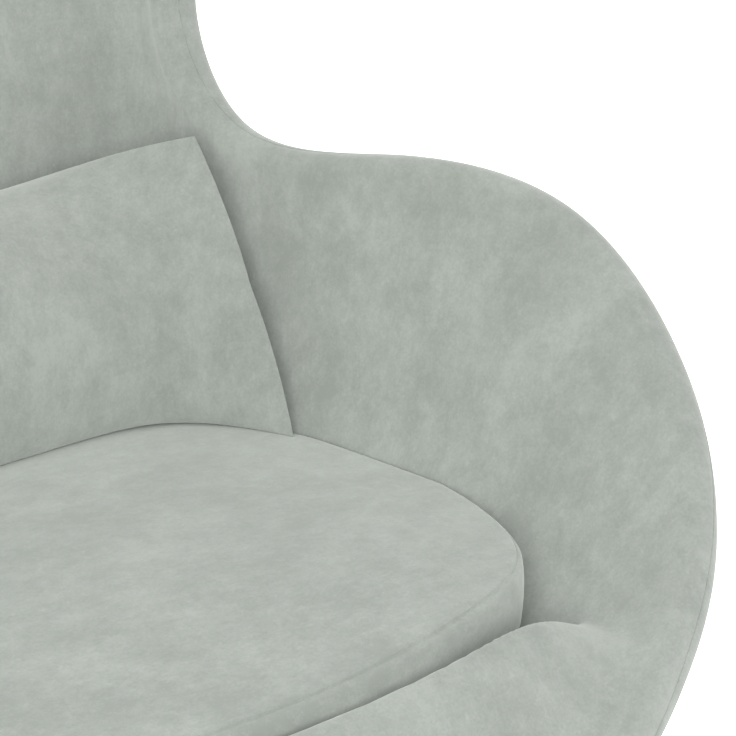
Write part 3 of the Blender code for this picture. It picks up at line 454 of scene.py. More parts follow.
def satin_nylon(name, dark, pale):
    """Nylon, moulded for bushes and glides or drawn for thread: a satin skin with a fine grain.

    The grain is about 0.8 mm. Scuffs of about 15 mm make it a little paler and duller here and there.
    """
    finish, tree, shader, place = new_finish(name, {"IOR": 1.53})
    grain = add(tree, "ShaderNodeTexNoise", {"Vector": place, "Scale": 1 / 0.0008, "Detail": 2.0})
    scuffs = add(tree, "ShaderNodeTexNoise", {"Vector": place, "Scale": 1 / 0.015, "Detail": 5.0})
    colour = add(tree, "ShaderNodeValToRGB", {"Fac": scuffs}, ((0.4, dark), (0.75, pale)))
    rough = add(tree, "ShaderNodeMapRange", {"Value": scuffs, "To Min": 0.38, "To Max": 0.58})
    bump = add(tree, "ShaderNodeBump", {"Height": grain, "Strength": 0.2, "Distance": 0.0003})
    feed(tree, shader, {"Base Color": colour, "Roughness": rough, "Normal": bump})
    return finish


def powder_coated_steel():
    """Black powder-coated steel: a satin coat with the orange peel of about 2 mm that baking leaves."""
    finish, tree, shader, place = new_finish("black_powder_coated_steel", {"IOR": 1.5})
    peel = add(tree, "ShaderNodeTexNoise", {"Vector": place, "Scale": 1 / 0.002, "Detail": 1.0})
    dust = add(tree, "ShaderNodeTexNoise", {"Vector": place, "Scale": 1 / 0.020, "Detail": 5.0})
    colour = add(tree, "ShaderNodeValToRGB", {"Fac": dust}, ((0.4, "#1D1E1E"), (0.8, "#2E2F2F")))
    rough = add(tree, "ShaderNodeMapRange", {"Value": dust, "To Min": 0.36, "To Max": 0.56})
    bump = add(tree, "ShaderNodeBump", {"Height": peel, "Strength": 0.25, "Distance": 0.0004})
    feed(tree, shader, {"Base Color": colour, "Roughness": rough, "Normal": bump})
    return finish


def bare_metal(name, dark, pale, smooth, dull, lines):
    """A bare metal with fine tool marks, drawn at 1.5 mm to show, and a gloss that is cloudy from handling.

    It runs from smooth to dull in roughness. The lines are the marks' scale along X, Y and Z.
    """
    finish, tree, shader, place = new_finish(name, {"Metallic": 1.0})
    drawn = add(tree, "ShaderNodeMapping", {"Vector": place, "Scale": lines})
    marks = add(tree, "ShaderNodeTexNoise", {"Vector": drawn, "Scale": 1 / 0.0015, "Detail": 2.0})
    clouds = add(tree, "ShaderNodeTexNoise", {"Vector": place, "Scale": 1 / 0.030, "Detail": 4.0})
    colour = add(tree, "ShaderNodeValToRGB", {"Fac": clouds}, ((0.35, dark), (0.65, pale)))
    tone = add(tree, "ShaderNodeMath", {0: marks, 1: clouds}, operation="MULTIPLY")
    gloss = {"Value": tone, "From Max": 0.5, "To Min": smooth, "To Max": dull}
    rough = add(tree, "ShaderNodeMapRange", gloss)
    bump = add(tree, "ShaderNodeBump", {"Height": marks, "Strength": 0.05, "Distance": 0.0002})
    feed(tree, shader, {"Base Color": colour, "Roughness": rough, "Normal": bump})
    return finish


def settle(piece, body, slot, *nodes):
    """Ties a finished piece to its body and hides the solids that it stands for. The slot is not used."""
    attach(piece, body)
    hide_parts(*nodes)


def new_piece(name, points, faces, finish, sharp=math.pi):
    """A mesh object at the origin. Faces that meet at more than the sharp angle keep their edge."""
    mesh = bpy.data.meshes.new(name)
    mesh.from_pydata(np.asarray(points, float).tolist(), [], faces)
    mesh.shade_smooth()
    if sharp < math.pi:
        mesh.set_sharp_from_angle(angle=sharp)
    mesh.materials.append(finish)
    piece = bpy.data.objects.new(name, mesh)
    bpy.context.scene.collection.objects.link(piece)
    return piece


def outward(points, faces):
    """The faces of a closed form, turned round if they enclose less than nothing."""
    volume = 0.0
    for corners in (3, 4):
        spots = points[np.array([face for face in faces if len(face) == corners], int).reshape(-1, corners)]
        for k in range(2, corners):
            volume += np.sum(np.cross(spots[:, k - 1], spots[:, k]) * spots[:, 0])
    return [face[::-1] for face in faces] if volume < 0 else faces


def loft(rings, start=None, end=None, wrap=False):
    """Points and faces over rings of points, closed by fans to a start and an end, or by the first ring."""
    columns = len(rings[0])
    here = np.arange(columns)
    there = (here + 1) % columns
    points = [np.concatenate(rings)]
    faces = []
    for r in range(len(rings) if wrap else len(rings) - 1):
        a = r * columns
        b = (r + 1) % len(rings) * columns
        faces += np.stack([a + here, a + there, b + there, b + here], 1).tolist()
    count = len(rings) * columns
    last = (len(rings) - 1) * columns
    for tip, one, two in ((start, there, here), (end, last + here, last + there)):
        if tip is not None:
            points.append([tip])
            faces += np.stack([one, two, np.full(columns, count)], 1).tolist()
            count += 1
    points = np.concatenate(points)
    return points, outward(points, faces)


def unit(vectors):
    return vectors / np.linalg.norm(vectors, axis=-1, keepdims=True)


def even_angles(count, first=0.0):
    return (np.arange(count) + first) * math.tau / count


def round_axis(angles, radius, height=0.0):
    """Points at a radius and a height round an upright axis."""
    return np.stack([radius * np.cos(angles), radius * np.sin(angles), 0 * angles + height], 1)


def spline_ring(points, count):
    """A smooth closed curve through the points, read at even steps."""
    points = np.asarray(points, float)
    spans = len(points)
    system = 4 * np.eye(spans) + np.roll(np.eye(spans), 1, 0) + np.roll(np.eye(spans), -1, 0)
    slopes = np.linalg.solve(system, 3 * (np.roll(points, -1, 0) - np.roll(points, 1, 0)))
    place_on = np.arange(count) * spans / count
    i = place_on.astype(int)
    j = (i + 1) % spans
    t = (place_on - i)[:, None]
    start = (1 + 2 * t) * (1 - t) ** 2 * points[i] + t * (1 - t) ** 2 * slopes[i]
    return start + t * t * (3 - 2 * t) * points[j] + t * t * (t - 1) * slopes[j]


def smooth_step(t):
    t = np.clip(t, 0, 1)
    return t * t * (3 - 2 * t)


def pan_point(hip):
    """Where a section leaves the pan: on the pan's oval, in line with the section's hip."""
    reach = PAN_BACK if hip[1] > 0 else PAN_FRONT
    scale = math.hypot(hip[0] / PAN_HALF_WIDTH, hip[1] / reach)
    return (hip[0] / scale, hip[1] / scale, 0.0)


def seat_face():
    """The bare face of the shell's hollow: points, normals towards the sitter, and climb directions."""
    half = np.array([(pan_point(hip), hip, shoulder, rim) for rim, shoulder, hip in SECTIONS.values()])
    sections = np.concatenate([half, half[-2:0:-1] * (-1, 1, 1)]) + (0, 0, PAN_HEIGHT)
    rings = [spline_ring(ring, SHELL_COLUMNS) for ring in sections.swapaxes(0, 1)]
    t = np.linspace(0, 1, SHELL_ROWS)[None, :, None]
    weights = ((1 - t) ** 3, 3 * t * (1 - t) ** 2, 3 * t * t * (1 - t), t**3)
    slopes = (-3 * (1 - t) ** 2, 3 * (1 - t) * (1 - 3 * t), 3 * t * (2 - 3 * t), 3 * t * t)
    points = sum(w * ring[:, None, :] for w, ring in zip(weights, rings))
    climb = unit(sum(w * ring[:, None, :] for w, ring in zip(slopes, rings)))
    around = unit(np.roll(points, -1, 0) - np.roll(points, 1, 0))
    return points, unit(np.cross(around, climb)), climb


FACE_POINTS, FACE_NORMALS, FACE_CLIMB = seat_face()


def lip_roll():
    """How far the padding of the lip lifts each point of the face."""
    hub = CUSHION_FRONT + LIP_ROLL_BOW
    past_front = np.hypot(FACE_POINTS[..., 0], FACE_POINTS[..., 1] - hub) - LIP_ROLL_BOW
    from_back = np.maximum(past_front + LIP_ROLL_START, LIP_ROLL_LEAST)
    from_end = np.maximum(LIP_ROLL_END - np.abs(FACE_POINTS[..., 0]), LIP_ROLL_LEAST)
    inside = (from_back**-LIP_ROLL_ROUNDING + from_end**-LIP_ROLL_ROUNDING) ** (-1 / LIP_ROLL_ROUNDING)
    rise = smooth_step(inside / LIP_ROLL_RISE)
    fall = smooth_step((1 - np.linspace(0, 1, SHELL_ROWS)) / LIP_ROLL_FALL)
    return LIP_ROLL_HEIGHT * rise * fall


def wall_rings(depth, padded=False, hole=0.0, short=0.0):
    """Rings of a layer at a depth below the face: the flat pan, with its hole if any, and then the wall."""
    lift = lip_roll()[..., None] if padded else 0.0
    wall = FACE_POINTS + FACE_NORMALS * (lift - depth)
    wall[:, -1] += unit(wall[:, -2] - wall[:, -1]) * short
    height = (0, 0, PAN_HEIGHT - depth)
    edge = wall[:, 0] * (1, 1, 0) + height
    inner = round_axis(even_angles(SHELL_COLUMNS), hole)[:, [1, 0, 2]] + height
    shares = (0.0, *PAN_SHARES) if hole else PAN_SHARES
    return [inner + (edge - inner) * share for share in shares] + [wall[:, r] for r in range(SHELL_ROWS)]


def rim_rings(turns):
    """Rings round the rolled edge: turns are (angle from the inner face, radius)."""
    centre = FACE_POINTS[:, -1] - FACE_NORMALS[:, -1] * EDGE_RADIUS
    rings = []
    for angle, radius in turns:
        way = FACE_NORMALS[:, -1] * math.cos(angle) + FACE_CLIMB[:, -1] * math.sin(angle)
        rings.append(centre + way * radius)
    return rings


def edge_turns(first, sign, radius):
    """Turns from an end of the rolled edge to the seam, where the cover folds in."""
    last = SEAM_ANGLE - sign * SEAM_FOLD / EDGE_RADIUS
    turns = [(angle, radius) for angle in np.linspace(first, last, RIM_STEPS)[1:-1]]
    for share in FOLD_SHARES:
        sink = SEAM_FOLD * (1 - math.sqrt(1 - (1 - share) ** 2))
        turns.append((SEAM_ANGLE - sign * SEAM_FOLD * share / EDGE_RADIUS, radius - sink))
    return turns


def add_layer(name, rings, finish, slot, node, poles=()):
    """A closed layer of the shell over its rings, with a point at the pan's middle at each pole's depth."""
    ends = [(0.0, 0.0, PAN_HEIGHT - depth) for depth in poles]
    piece = new_piece(name, *loft(rings, *ends, wrap=not poles), finish)
    settle(piece, "seat", slot, node)
    return piece


def make_shell(suede, foam, laminate):
    """The layers of the upholstered shell, each a closed body, from the lining out to the back."""
    lining = wall_rings(0.0, padded=True) + rim_rings(edge_turns(0.0, 1, EDGE_RADIUS))
    under = wall_rings(COVER, padded=True) + rim_rings(edge_turns(0.0, 1, EDGE_RADIUS - COVER))
    poles = (0.0, COVER)
    piece = add_layer("lining_suede", lining + under[::-1], suede, "sage_suede", "inner_cover", poles)

    half_turn = [(angle, EDGE_RADIUS - FOAM_DEPTH) for angle in np.linspace(0, math.pi, 2 * RIM_STEPS)[1:]]
    outer = wall_rings(FOAM_DEPTH, padded=True) + rim_rings(half_turn)
    foam_back = FOAM_DEPTH + INNER_FOAM
    inner = wall_rings(foam_back)
    for depth in np.linspace(foam_back, FULL_DEPTH - 2 * COVER, RIM_STEPS)[1:]:
        inner.append(FACE_POINTS[:, -1] - FACE_NORMALS[:, -1] * depth)
    poles = (FOAM_DEPTH, foam_back)
    piece = add_layer("lining_foam", outer + inner[::-1], foam, "cut_foam", "inner_foam", poles)

    boss_hole = MOUNT_BOSS_RADIUS + GAP
    flange_hole = MOUNT_FLANGE_RADIUS + GAP
    near = wall_rings(SHELL_DEPTH, hole=boss_hole, short=EDGE_GAP)
    far = wall_rings(SHELL_DEPTH + SHELL, hole=boss_hole, short=EDGE_GAP)
    add_layer("laminate_shell", near + far[::-1], laminate, "glass_laminate", "seat_shell")

    near = wall_rings(OUTER_FOAM_DEPTH, hole=flange_hole, short=EDGE_GAP)
    far = wall_rings(OUTER_FOAM_DEPTH + OUTER_FOAM, hole=flange_hole, short=EDGE_GAP)
    piece = add_layer("back_foam", near + far[::-1], foam, "cut_foam", "outer_foam")

    back = wall_rings(FULL_DEPTH, hole=flange_hole) + rim_rings(edge_turns(math.pi, -1, EDGE_RADIUS))
    under = wall_rings(OUTER_COVER_DEPTH, hole=flange_hole)
    under += rim_rings(edge_turns(math.pi, -1, EDGE_RADIUS - COVER))
    piece = add_layer("back_suede", back + under[::-1], suede, "sage_suede", "outer_cover")


def face_tree():
    """The padded face as a surface that rays and points can meet, facing the sitter."""
    rings = wall_rings(0.0, padded=True) + rim_rings(edge_turns(0.0, 1, EDGE_RADIUS))
    points, faces = loft(rings, (0.0, 0.0, PAN_HEIGHT))
    tree = BVHTree.FromPolygons([Vector(p) for p in points], faces)
    _, normal, _, _ = tree.find_nearest(Vector((0.0, 0.0, PAN_HEIGHT)))
    if normal.z < 0:
        tree = BVHTree.FromPolygons([Vector(p) for p in points], [face[::-1] for face in faces])
    return tree


def surface_tree(piece, side=1):
    """A finished piece's surface, for points that rest on it or, on side -1, that stay inside it."""
    points = [vertex.co for vertex in piece.data.vertices]
    faces = [tuple(face.vertices)[::side] for face in piece.data.polygons]
    return BVHTree.FromPolygons(points, faces)


def read_points(mesh):
    flat = np.empty(len(mesh.vertices) * 3)
    mesh.vertices.foreach_get("co", flat)
    return flat.reshape(-1, 3)


def write_points(mesh, points):
    mesh.vertices.foreach_set("co", points.ravel())
    mesh.update()


def press_clear(piece, tree, gap=PRESS_GAP):
    """Moves a piece's points that lie in a surface, or nearer to it than the gap, out along its normal."""
    points = read_points(piece.data)
    for i, point in enumerate(points):
        spot, normal, _, _ = tree.find_nearest(Vector(point))
        depth = (Vector(point) - spot).dot(normal)
        if depth < gap:
            points[i] = Vector(point) + normal * (gap - depth)
    write_points(piece.data, points)


def shrunk_copy(piece, name, inset, finish):
    """The filling of a cover: the same form, an inset smaller all round."""
    mesh = piece.data.copy()
    mesh.name = name
    normals = np.empty(len(mesh.vertices) * 3)
    mesh.vertices.foreach_get("normal", normals)
    write_points(mesh, read_points(mesh) - normals.reshape(-1, 3) * inset)
    mesh.materials.clear()
    mesh.materials.append(finish)
    copy = bpy.data.objects.new(name, mesh)
    bpy.context.scene.collection.objects.link(copy)
    return copy


def swell(piece, held, pressure, cap):
    """Swells a closed cover as cloth with its seams held. No point moves farther than the cap."""
    start = read_points(piece.data)
    group = piece.vertex_groups.new(name="held")
    group.add([int(i) for i in held], 1.0, "REPLACE")
    cloth = piece.modifiers.new("cloth", "CLOTH")
    cloth.settings.vertex_group_mass = group.name
    cloth.settings.use_pressure = True
    cloth.settings.uniform_pressure_force = pressure
    cloth.settings.effector_weights.gravity = 0.0
    cloth.settings.bending_stiffness = CLOTH_BENDING
    cloth.collision_settings.use_collision = False
    scene = bpy.context.scene
    for number in range(1, CLOTH_FRAMES + 1):
        scene.frame_set(number)
    graph = bpy.context.evaluated_depsgraph_get()
    swollen = read_points(piece.evaluated_get(graph).data)
    piece.modifiers.remove(cloth)
    piece.vertex_groups.clear()
    scene.frame_set(1)
    way = swollen - start
    length = np.linalg.norm(way, axis=1, keepdims=True)
    capped = cap * np.tanh(length / cap)
    kept = np.divide(capped, length, out=np.zeros_like(length), where=length > 0)
    write_points(piece.data, start + way * kept)


def bake(piece):
    """Turns the result of a piece's modifiers into its own mesh."""
    graph = bpy.context.evaluated_depsgraph_get()
    mesh = bpy.data.meshes.new_from_object(piece.evaluated_get(graph))
    piece.modifiers.clear()
    old = piece.data
    piece.data = mesh
    bpy.data.meshes.remove(old)
    mesh.name = piece.name


def subdivide(piece):
    finer = piece.modifiers.new("finer", "SUBSURF")
    finer.levels = 1
    finer.render_levels = 1
    bake(piece)


def arc_reach(directions, hub, radius):
    """How far a circle is from the cushion's centre in each direction."""
    hub = np.array(hub) - (0.0, CUSHION_CENTRE)
    along = directions @ hub
    return along + np.sqrt(along**2 + radius**2 - hub @ hub)


def cushion_reach(wall, height, bearings):
    """The cushion's outline at a height: the nearest of the walls, the bowed front and the bowed sides."""
    directions = np.stack([np.cos(bearings), np.sin(bearings)], 1)
    below_seam = (CUSHION_SEAM - height) / (CUSHION_SEAM_HEIGHT - CUSHION_LOWER_SEAM_HEIGHT)
    bulge = CUSHION_BAND_BULGE * math.sin(math.pi * min(max(below_seam, 0.0), 1.0) ** CUSHION_BULGE_PLACE)
    side_hub = CUSHION_HALF_WIDTH - CUSHION_SIDE_BOW
    front = arc_reach(directions, (0.0, CUSHION_FRONT + CUSHION_FRONT_BOW), CUSHION_FRONT_BOW)
    right = arc_reach(directions, (side_hub, CUSHION_WIDEST), CUSHION_SIDE_BOW)
    left = arc_reach(directions, (-side_hub, CUSHION_WIDEST), CUSHION_SIDE_BOW)
    start = Vector((0.0, CUSHION_CENTRE, height))
    ways = [wall.ray_cast(start, Vector((*d, 0.0)))[3] for d in directions]
    clear = np.array([WALL_SEARCH if way is None else way for way in ways]) - CUSHION_CLEARANCE
    power = CUSHION_CORNER_SHARPNESS
    free = ((front + bulge) ** -power + np.minimum(left, right) ** -power) ** (-1 / power)
    return np.minimum(free, clear)


def disc_grid(steps):
    """Bearing and radius share of the corners of a square grid that is laid over a disc."""
    u, v = np.meshgrid(steps, steps)
    radius = np.maximum(np.abs(u), np.abs(v))
    safe = np.where(radius > 0, radius, 1)
    quarter = math.pi / 4
    bearing = np.where(u > 0, v / safe * quarter, math.pi - v / safe * quarter)
    upper = (v > 0) & (v >= np.abs(u))
    lower = (v < 0) & (-v >= np.abs(u))
    bearing = np.where(upper, math.pi / 2 - u / safe * quarter, bearing)
    bearing = np.where(lower, 3 * math.pi / 2 + u / safe * quarter, bearing)
    return bearing % math.tau, radius


def grid_faces(rows, columns, first=0):
    index = np.arange(rows * columns).reshape(rows, columns) + first
    quads = np.stack([index[:-1, :-1], index[:-1, 1:], index[1:, 1:], index[1:, :-1]], -1)
    return quads.reshape(-1, 4).tolist()


def cushion_spots(wall, height, bearings, shares):
    """Points at one height of the cushion, at shares of its outline, which is eased on the underside."""
    fine = np.linspace(0, math.tau, CUSHION_OUTLINE_STEPS + 1)[:-1]
    outline = cushion_reach(wall, height, fine)
    if height < CUSHION_UNDERSIDE:
        half = CUSHION_EASE_STEPS // 2
        wrapped = np.concatenate([outline[-half:], outline, outline[:half]])
        mean = np.convolve(wrapped, np.ones(CUSHION_EASE_STEPS) / CUSHION_EASE_STEPS, "valid")
        outline = np.minimum(outline, mean)
    reach = np.interp(bearings, fine, outline, period=math.tau) * shares
    return round_axis(bearings, reach, height) + (0.0, CUSHION_CENTRE, 0.0)


def cushion_form(wall):
    """The cushion's cover before it swells: a crowned top, a band and a flat underside.

    Gives its points, its faces, and the numbers of the points that lie along the top seam.
    """
    inner, outer = CUSHION_EDGE_SHARES
    steps = np.concatenate([[-1, -outer], np.linspace(-inner, inner, CUSHION_CELLS + 1), [outer, 1]])
    size = len(steps)
    bearing, share = (part.ravel() for part in disc_grid(steps))
    edge = np.flatnonzero(np.isclose(share, 1.0))
    loop = edge[np.argsort(bearing[edge])]
    count = len(loop)

    foot = PAN_HEIGHT + GAP
    top = cushion_spots(wall, CUSHION_SEAM, bearing, share)
    top[:, 2] += CUSHION_CROWN * (1 - share**2) ** CUSHION_CROWN_FULLNESS
    bottom = cushion_spots(wall, foot, bearing, share)
    heights = [CUSHION_SEAM - below for below in CUSHION_SEAM_ROWS]
    band_ends = (CUSHION_SEAM - CUSHION_BAND_TOP, CUSHION_LOWER_SEAM + CUSHION_BAND_FOOT)
    heights += np.linspace(*band_ends, CUSHION_BAND_ROWS).tolist()
    heights += np.linspace(CUSHION_LOWER_SEAM, foot, CUSHION_FOOT_ROWS + 1)[:-1].tolist()
    band = [cushion_spots(wall, height, bearing[loop], 1.0) for height in heights]

    points = np.concatenate([top, bottom] + band)
    faces = grid_faces(size, size) + [face[::-1] for face in grid_faces(size, size, len(top))]
    rows = [2 * len(top) + k * count + np.arange(count) for k in range(len(band))]
    rows = [loop, *rows, loop + len(top)]
    for upper, lower in zip(rows, rows[1:]):
        faces += np.stack([upper, lower, np.roll(lower, -1), np.roll(upper, -1)], 1).tolist()
    return points, outward(points, faces), loop


def sunk_in(points, loop):
    """The cushion's points with the top seam drawn in, and with room in the band for the zip."""
    middle = np.array((0.0, CUSHION_CENTRE, 0.0))
    inward = unit(middle - points[loop] * (1, 1, 0))
    points[loop] += (inward - (0, 0, CUSHION_SEAM_DROP)) * CUSHION_SEAM_SINK
    turn = np.arctan2(points[:, 1] - CUSHION_CENTRE, points[:, 0]) - math.pi / 2
    at_zip = smooth_step((CUSHION_ZIP_TURN - np.abs(turn)) / CUSHION_ZIP_EASE + 1)
    at_zip *= smooth_step((ZIP_HALF_WIDTH - np.abs(points[:, 2] - CUSHION_ZIP_HEIGHT)) / ZIP_EASE + 1)
    return points + unit(middle - points * (1, 1, 0)) * (at_zip * CUSHION_ZIP_RECESS)[:, None]


def make_seat_cushion(suede, foam, wall):
    """The seat cushion: its suede cover, swollen as cloth with its seams held, and its foam core."""
    points, faces, loop = cushion_form(wall)
    piece = new_piece("cushion_suede", points, faces, suede)
    low = np.flatnonzero(points[:, 2] < CUSHION_UNDERSIDE)
    swell(piece, np.concatenate([loop, low]), CUSHION_PRESSURE, CUSHION_SWELL_CAP)
    write_points(piece.data, sunk_in(read_points(piece.data), loop))
    press_clear(piece, wall)
    core = shrunk_copy(piece, "cushion_core", COVER + FILL_GAP, foam)
    subdivide(piece)
    press_clear(piece, wall)
    press_clear(core, surface_tree(piece, -1), CUSHION_CORE_INSET)
    settle(piece, "seat_cushion", "sage_suede", "seat_cushion_cover")
    settle(core, "seat_cushion", "cut_foam", "seat_cushion_foam")
    return piece


def pillow_seat():
    """The pillow's centre: its back and its foot lie where those of its solid do."""
    low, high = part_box("pillow_cover")
    spots = np.concatenate([sheet.reshape(-1, 3) for sheet in pillow_sheets(np.zeros(3))])
    return np.array((0.0, high.y - spots[:, 1].max(), low.z - spots[:, 2].min()))


def pillow_sheets(seat):
    """Front and back sheets of the pillow, as grids of points that share their edge."""
    across = np.sin(np.linspace(-0.5, 0.5, PILLOW_COLUMNS + 1) * math.pi)
    upward = np.sin(np.linspace(-0.5, 0.5, PILLOW_ROWS + 1) * math.pi)
    s, t = np.meshgrid(across, upward)
    top_edge = PILLOW_TOP_DRAW_IN * (1 - np.abs(s) ** PILLOW_TOP_SHARPNESS)
    bottom_edge = PILLOW_BOTTOM_DRAW_IN * (1 - s * s)
    x = s * (PILLOW_WIDTH / 2 - PILLOW_SIDE_DRAW_IN * (1 - t * t) + PILLOW_LOW_FLARE * np.maximum(-t, 0))
    z = t * (PILLOW_HEIGHT / 2 - np.where(t > 0, top_edge, bottom_edge))
    upper = np.maximum(1 - t * t, 0) ** PILLOW_FULLNESS
    belly = np.maximum(1 - np.abs(t) ** PILLOW_BELLY_SHARPNESS, 0) ** PILLOW_BELLY_FULLNESS
    sideways = np.maximum(1 - s * s, 0) ** PILLOW_FULLNESS
    depth = PILLOW_THICKNESS / 2 * sideways * np.where(t > 0, upper, belly)
    drop = (PILLOW_BELLY_DROP * smooth_step(-t))[..., None]
    forward = PILLOW_FORWARD - drop * (0, 0, 1)
    bend = PILLOW_EAR_BEND * np.abs(2 * x / PILLOW_WIDTH) ** PILLOW_EAR_SHARPNESS
    bend *= 1 - PILLOW_EAR_EASE * (1 - t) / 2
    front_depth = depth * (1 + PILLOW_BELLY_SWELL * smooth_step(PILLOW_BELLY_TOP - t) * (1 - s * s))
    sheets = []
    for ways in (front_depth[..., None] * forward, -depth[..., None] * PILLOW_FORWARD):
        spots = z[..., None] * PILLOW_UP + ways + seat
        spots[..., 0] += x
        spots[..., 1] -= bend
        sheets.append(spots)
    return sheets


def make_pillow(suede, fibre, wall, cushion):
    """The back pillow: two sheets of suede sewn together along a knife edge, and the fibre between them."""
    front, back = pillow_sheets(pillow_seat())
    rows, columns = front.shape[:2]
    number = np.arange(rows * columns).reshape(rows, columns)
    behind = number.copy()
    inside = (rows - 2, columns - 2)
    behind[1:-1, 1:-1] = rows * columns + np.arange(math.prod(inside)).reshape(inside)
    quads = np.array(grid_faces(rows, columns))
    faces = quads.tolist() + behind.ravel()[quads][:, ::-1].tolist()
    points = np.concatenate([front.reshape(-1, 3), back[1:-1, 1:-1].reshape(-1, 3)])
    piece = new_piece("pillow_suede", points, outward(points, faces), suede)
    edge = np.setdiff1d(number.ravel(), number[1:-1, 1:-1].ravel())
    swell(piece, edge, PILLOW_PRESSURE, PILLOW_SWELL_CAP)
    press_clear(piece, cushion)
    press_clear(piece, wall)
    fill = pillow_fill(piece, behind, fibre)
    subdivide(piece)
    press_clear(piece, cushion)
    press_clear(piece, wall)
    settle(piece, "pillow", "sage_suede", "pillow_cover")
    settle(fill, "pillow", "fibre_fill", "pillow_fill")
    return piece


def pillow_fill(piece, behind, fibre):
    """The fibre between the two sheets, which thins out to nothing before it reaches the seam."""
    points = read_points(piece.data)
    front = points[: behind.size]
    back = points[behind.ravel()]
    half = (front - back) / 2
    thick = np.linalg.norm(half, axis=1, keepdims=True)
    kept = np.clip(1 - (COVER + FILL_GAP) / np.maximum(thick, GAP), 0, 1)
    filled = points.copy()
    filled[behind.ravel()] = (front + back) / 2 - half * kept
    filled[: behind.size] = (front + back) / 2 + half * kept
    grid = filled[: behind.size].reshape(*behind.shape, 3)
    for side in (grid, grid[::-1], grid.swapaxes(0, 1), grid.swapaxes(0, 1)[::-1]):
        side[0] = (side[0] + side[1]) / 2
    copy = shrunk_copy(piece, "pillow_fibre", 0.0, fibre)
    write_points(copy.data, filled)
    return copy


def row_tree():
    """Geometry nodes that set copies of a piece along a path, upright on the surface under it."""
    tree = bpy.data.node_groups.new("row_along_path", "GeometryNodeTree")
    for label, kind in (
        ("Geometry", "NodeSocketGeometry"),
        ("Piece", "NodeSocketObject"),
        ("Count", "NodeSocketInt"),
        ("Finish", "NodeSocketMaterial"),
    ):
        tree.interface.new_socket(label, in_out="INPUT", socket_type=kind)
    tree.interface.new_socket("Geometry", in_out="OUTPUT", socket_type="NodeSocketGeometry")
    given = add(tree, "NodeGroupInput").outputs
    path = add(tree, "GeometryNodeMeshToCurve", {"Mesh": given["Geometry"]})
    marks = add(tree, "GeometryNodeCurveToPoints", {"Curve": path, "Count": given["Count"]}, mode="COUNT")
    up = add(tree, "GeometryNodeInputNamedAttribute", {"Name": "up"}, data_type="FLOAT_VECTOR")
    turn = add(
        tree,
        "FunctionNodeAxesToRotation",
        {"Primary Axis": marks.outputs["Tangent"], "Secondary Axis": up},
        primary_axis="X",
        secondary_axis="Z",
    )
    shape = add(tree, "GeometryNodeObjectInfo", {"Object": given["Piece"]})
    copies = add(
        tree,
        "GeometryNodeInstanceOnPoints",
        {"Points": marks, "Instance": shape.outputs["Geometry"], "Rotation": turn},
    )
    solid = add(tree, "GeometryNodeRealizeInstances", {"Geometry": copies})
    finished = add(tree, "GeometryNodeSetMaterial", {"Geometry": solid, "Material": given["Finish"]})
    add(tree, "NodeGroupOutput", {"Geometry": finished})
    return tree


ROW = row_tree()


def set_in_row(name, shape, path, up, count, finish, closed=False):
    """Copies of a small piece along a path, as one mesh. The small piece is used up."""
    mesh = bpy.data.meshes.new(name)
    edges = [(i, i + 1) for i in range(len(path) - 1)]
    edges += [(len(path) - 1, 0)] if closed else []
    mesh.from_pydata(np.asarray(path, float).tolist(), edges, [])
    upright = mesh.attributes.new("up", "FLOAT_VECTOR", "POINT")
    upright.data.foreach_set("vector", np.broadcast_to(up, (len(path), 3)).astype(np.float32).ravel())
    piece = bpy.data.objects.new(name, mesh)
    bpy.context.scene.collection.objects.link(piece)
    modifier = piece.modifiers.new("row", "NODES")
    modifier.node_group = ROW
    sockets = {item.name: item.identifier for item in ROW.interface.items_tree if item.in_out == "INPUT"}
    modifier[sockets["Piece"]] = shape
    modifier[sockets["Count"]] = count
    modifier[sockets["Finish"]] = finish
    bake(piece)
    bpy.data.objects.remove(shape)
    return piece


def bead(size, squareness=1.0):
    """A small rounded bar along X, with the given length, width and height."""
    section = round_axis(even_angles(BEAD_SIDES, 0.5), 1.0)[:, :2]
    section = np.sign(section) * np.abs(section) ** squareness / 2
    rings = []
    for place, share in BEAD_RINGS:
        rings.append(np.column_stack([np.full(BEAD_SIDES, place), section * share]) * size)
    return loft(rings, (-size[0] / 2, 0.0, 0.0), (size[0] / 2, 0.0, 0.0))


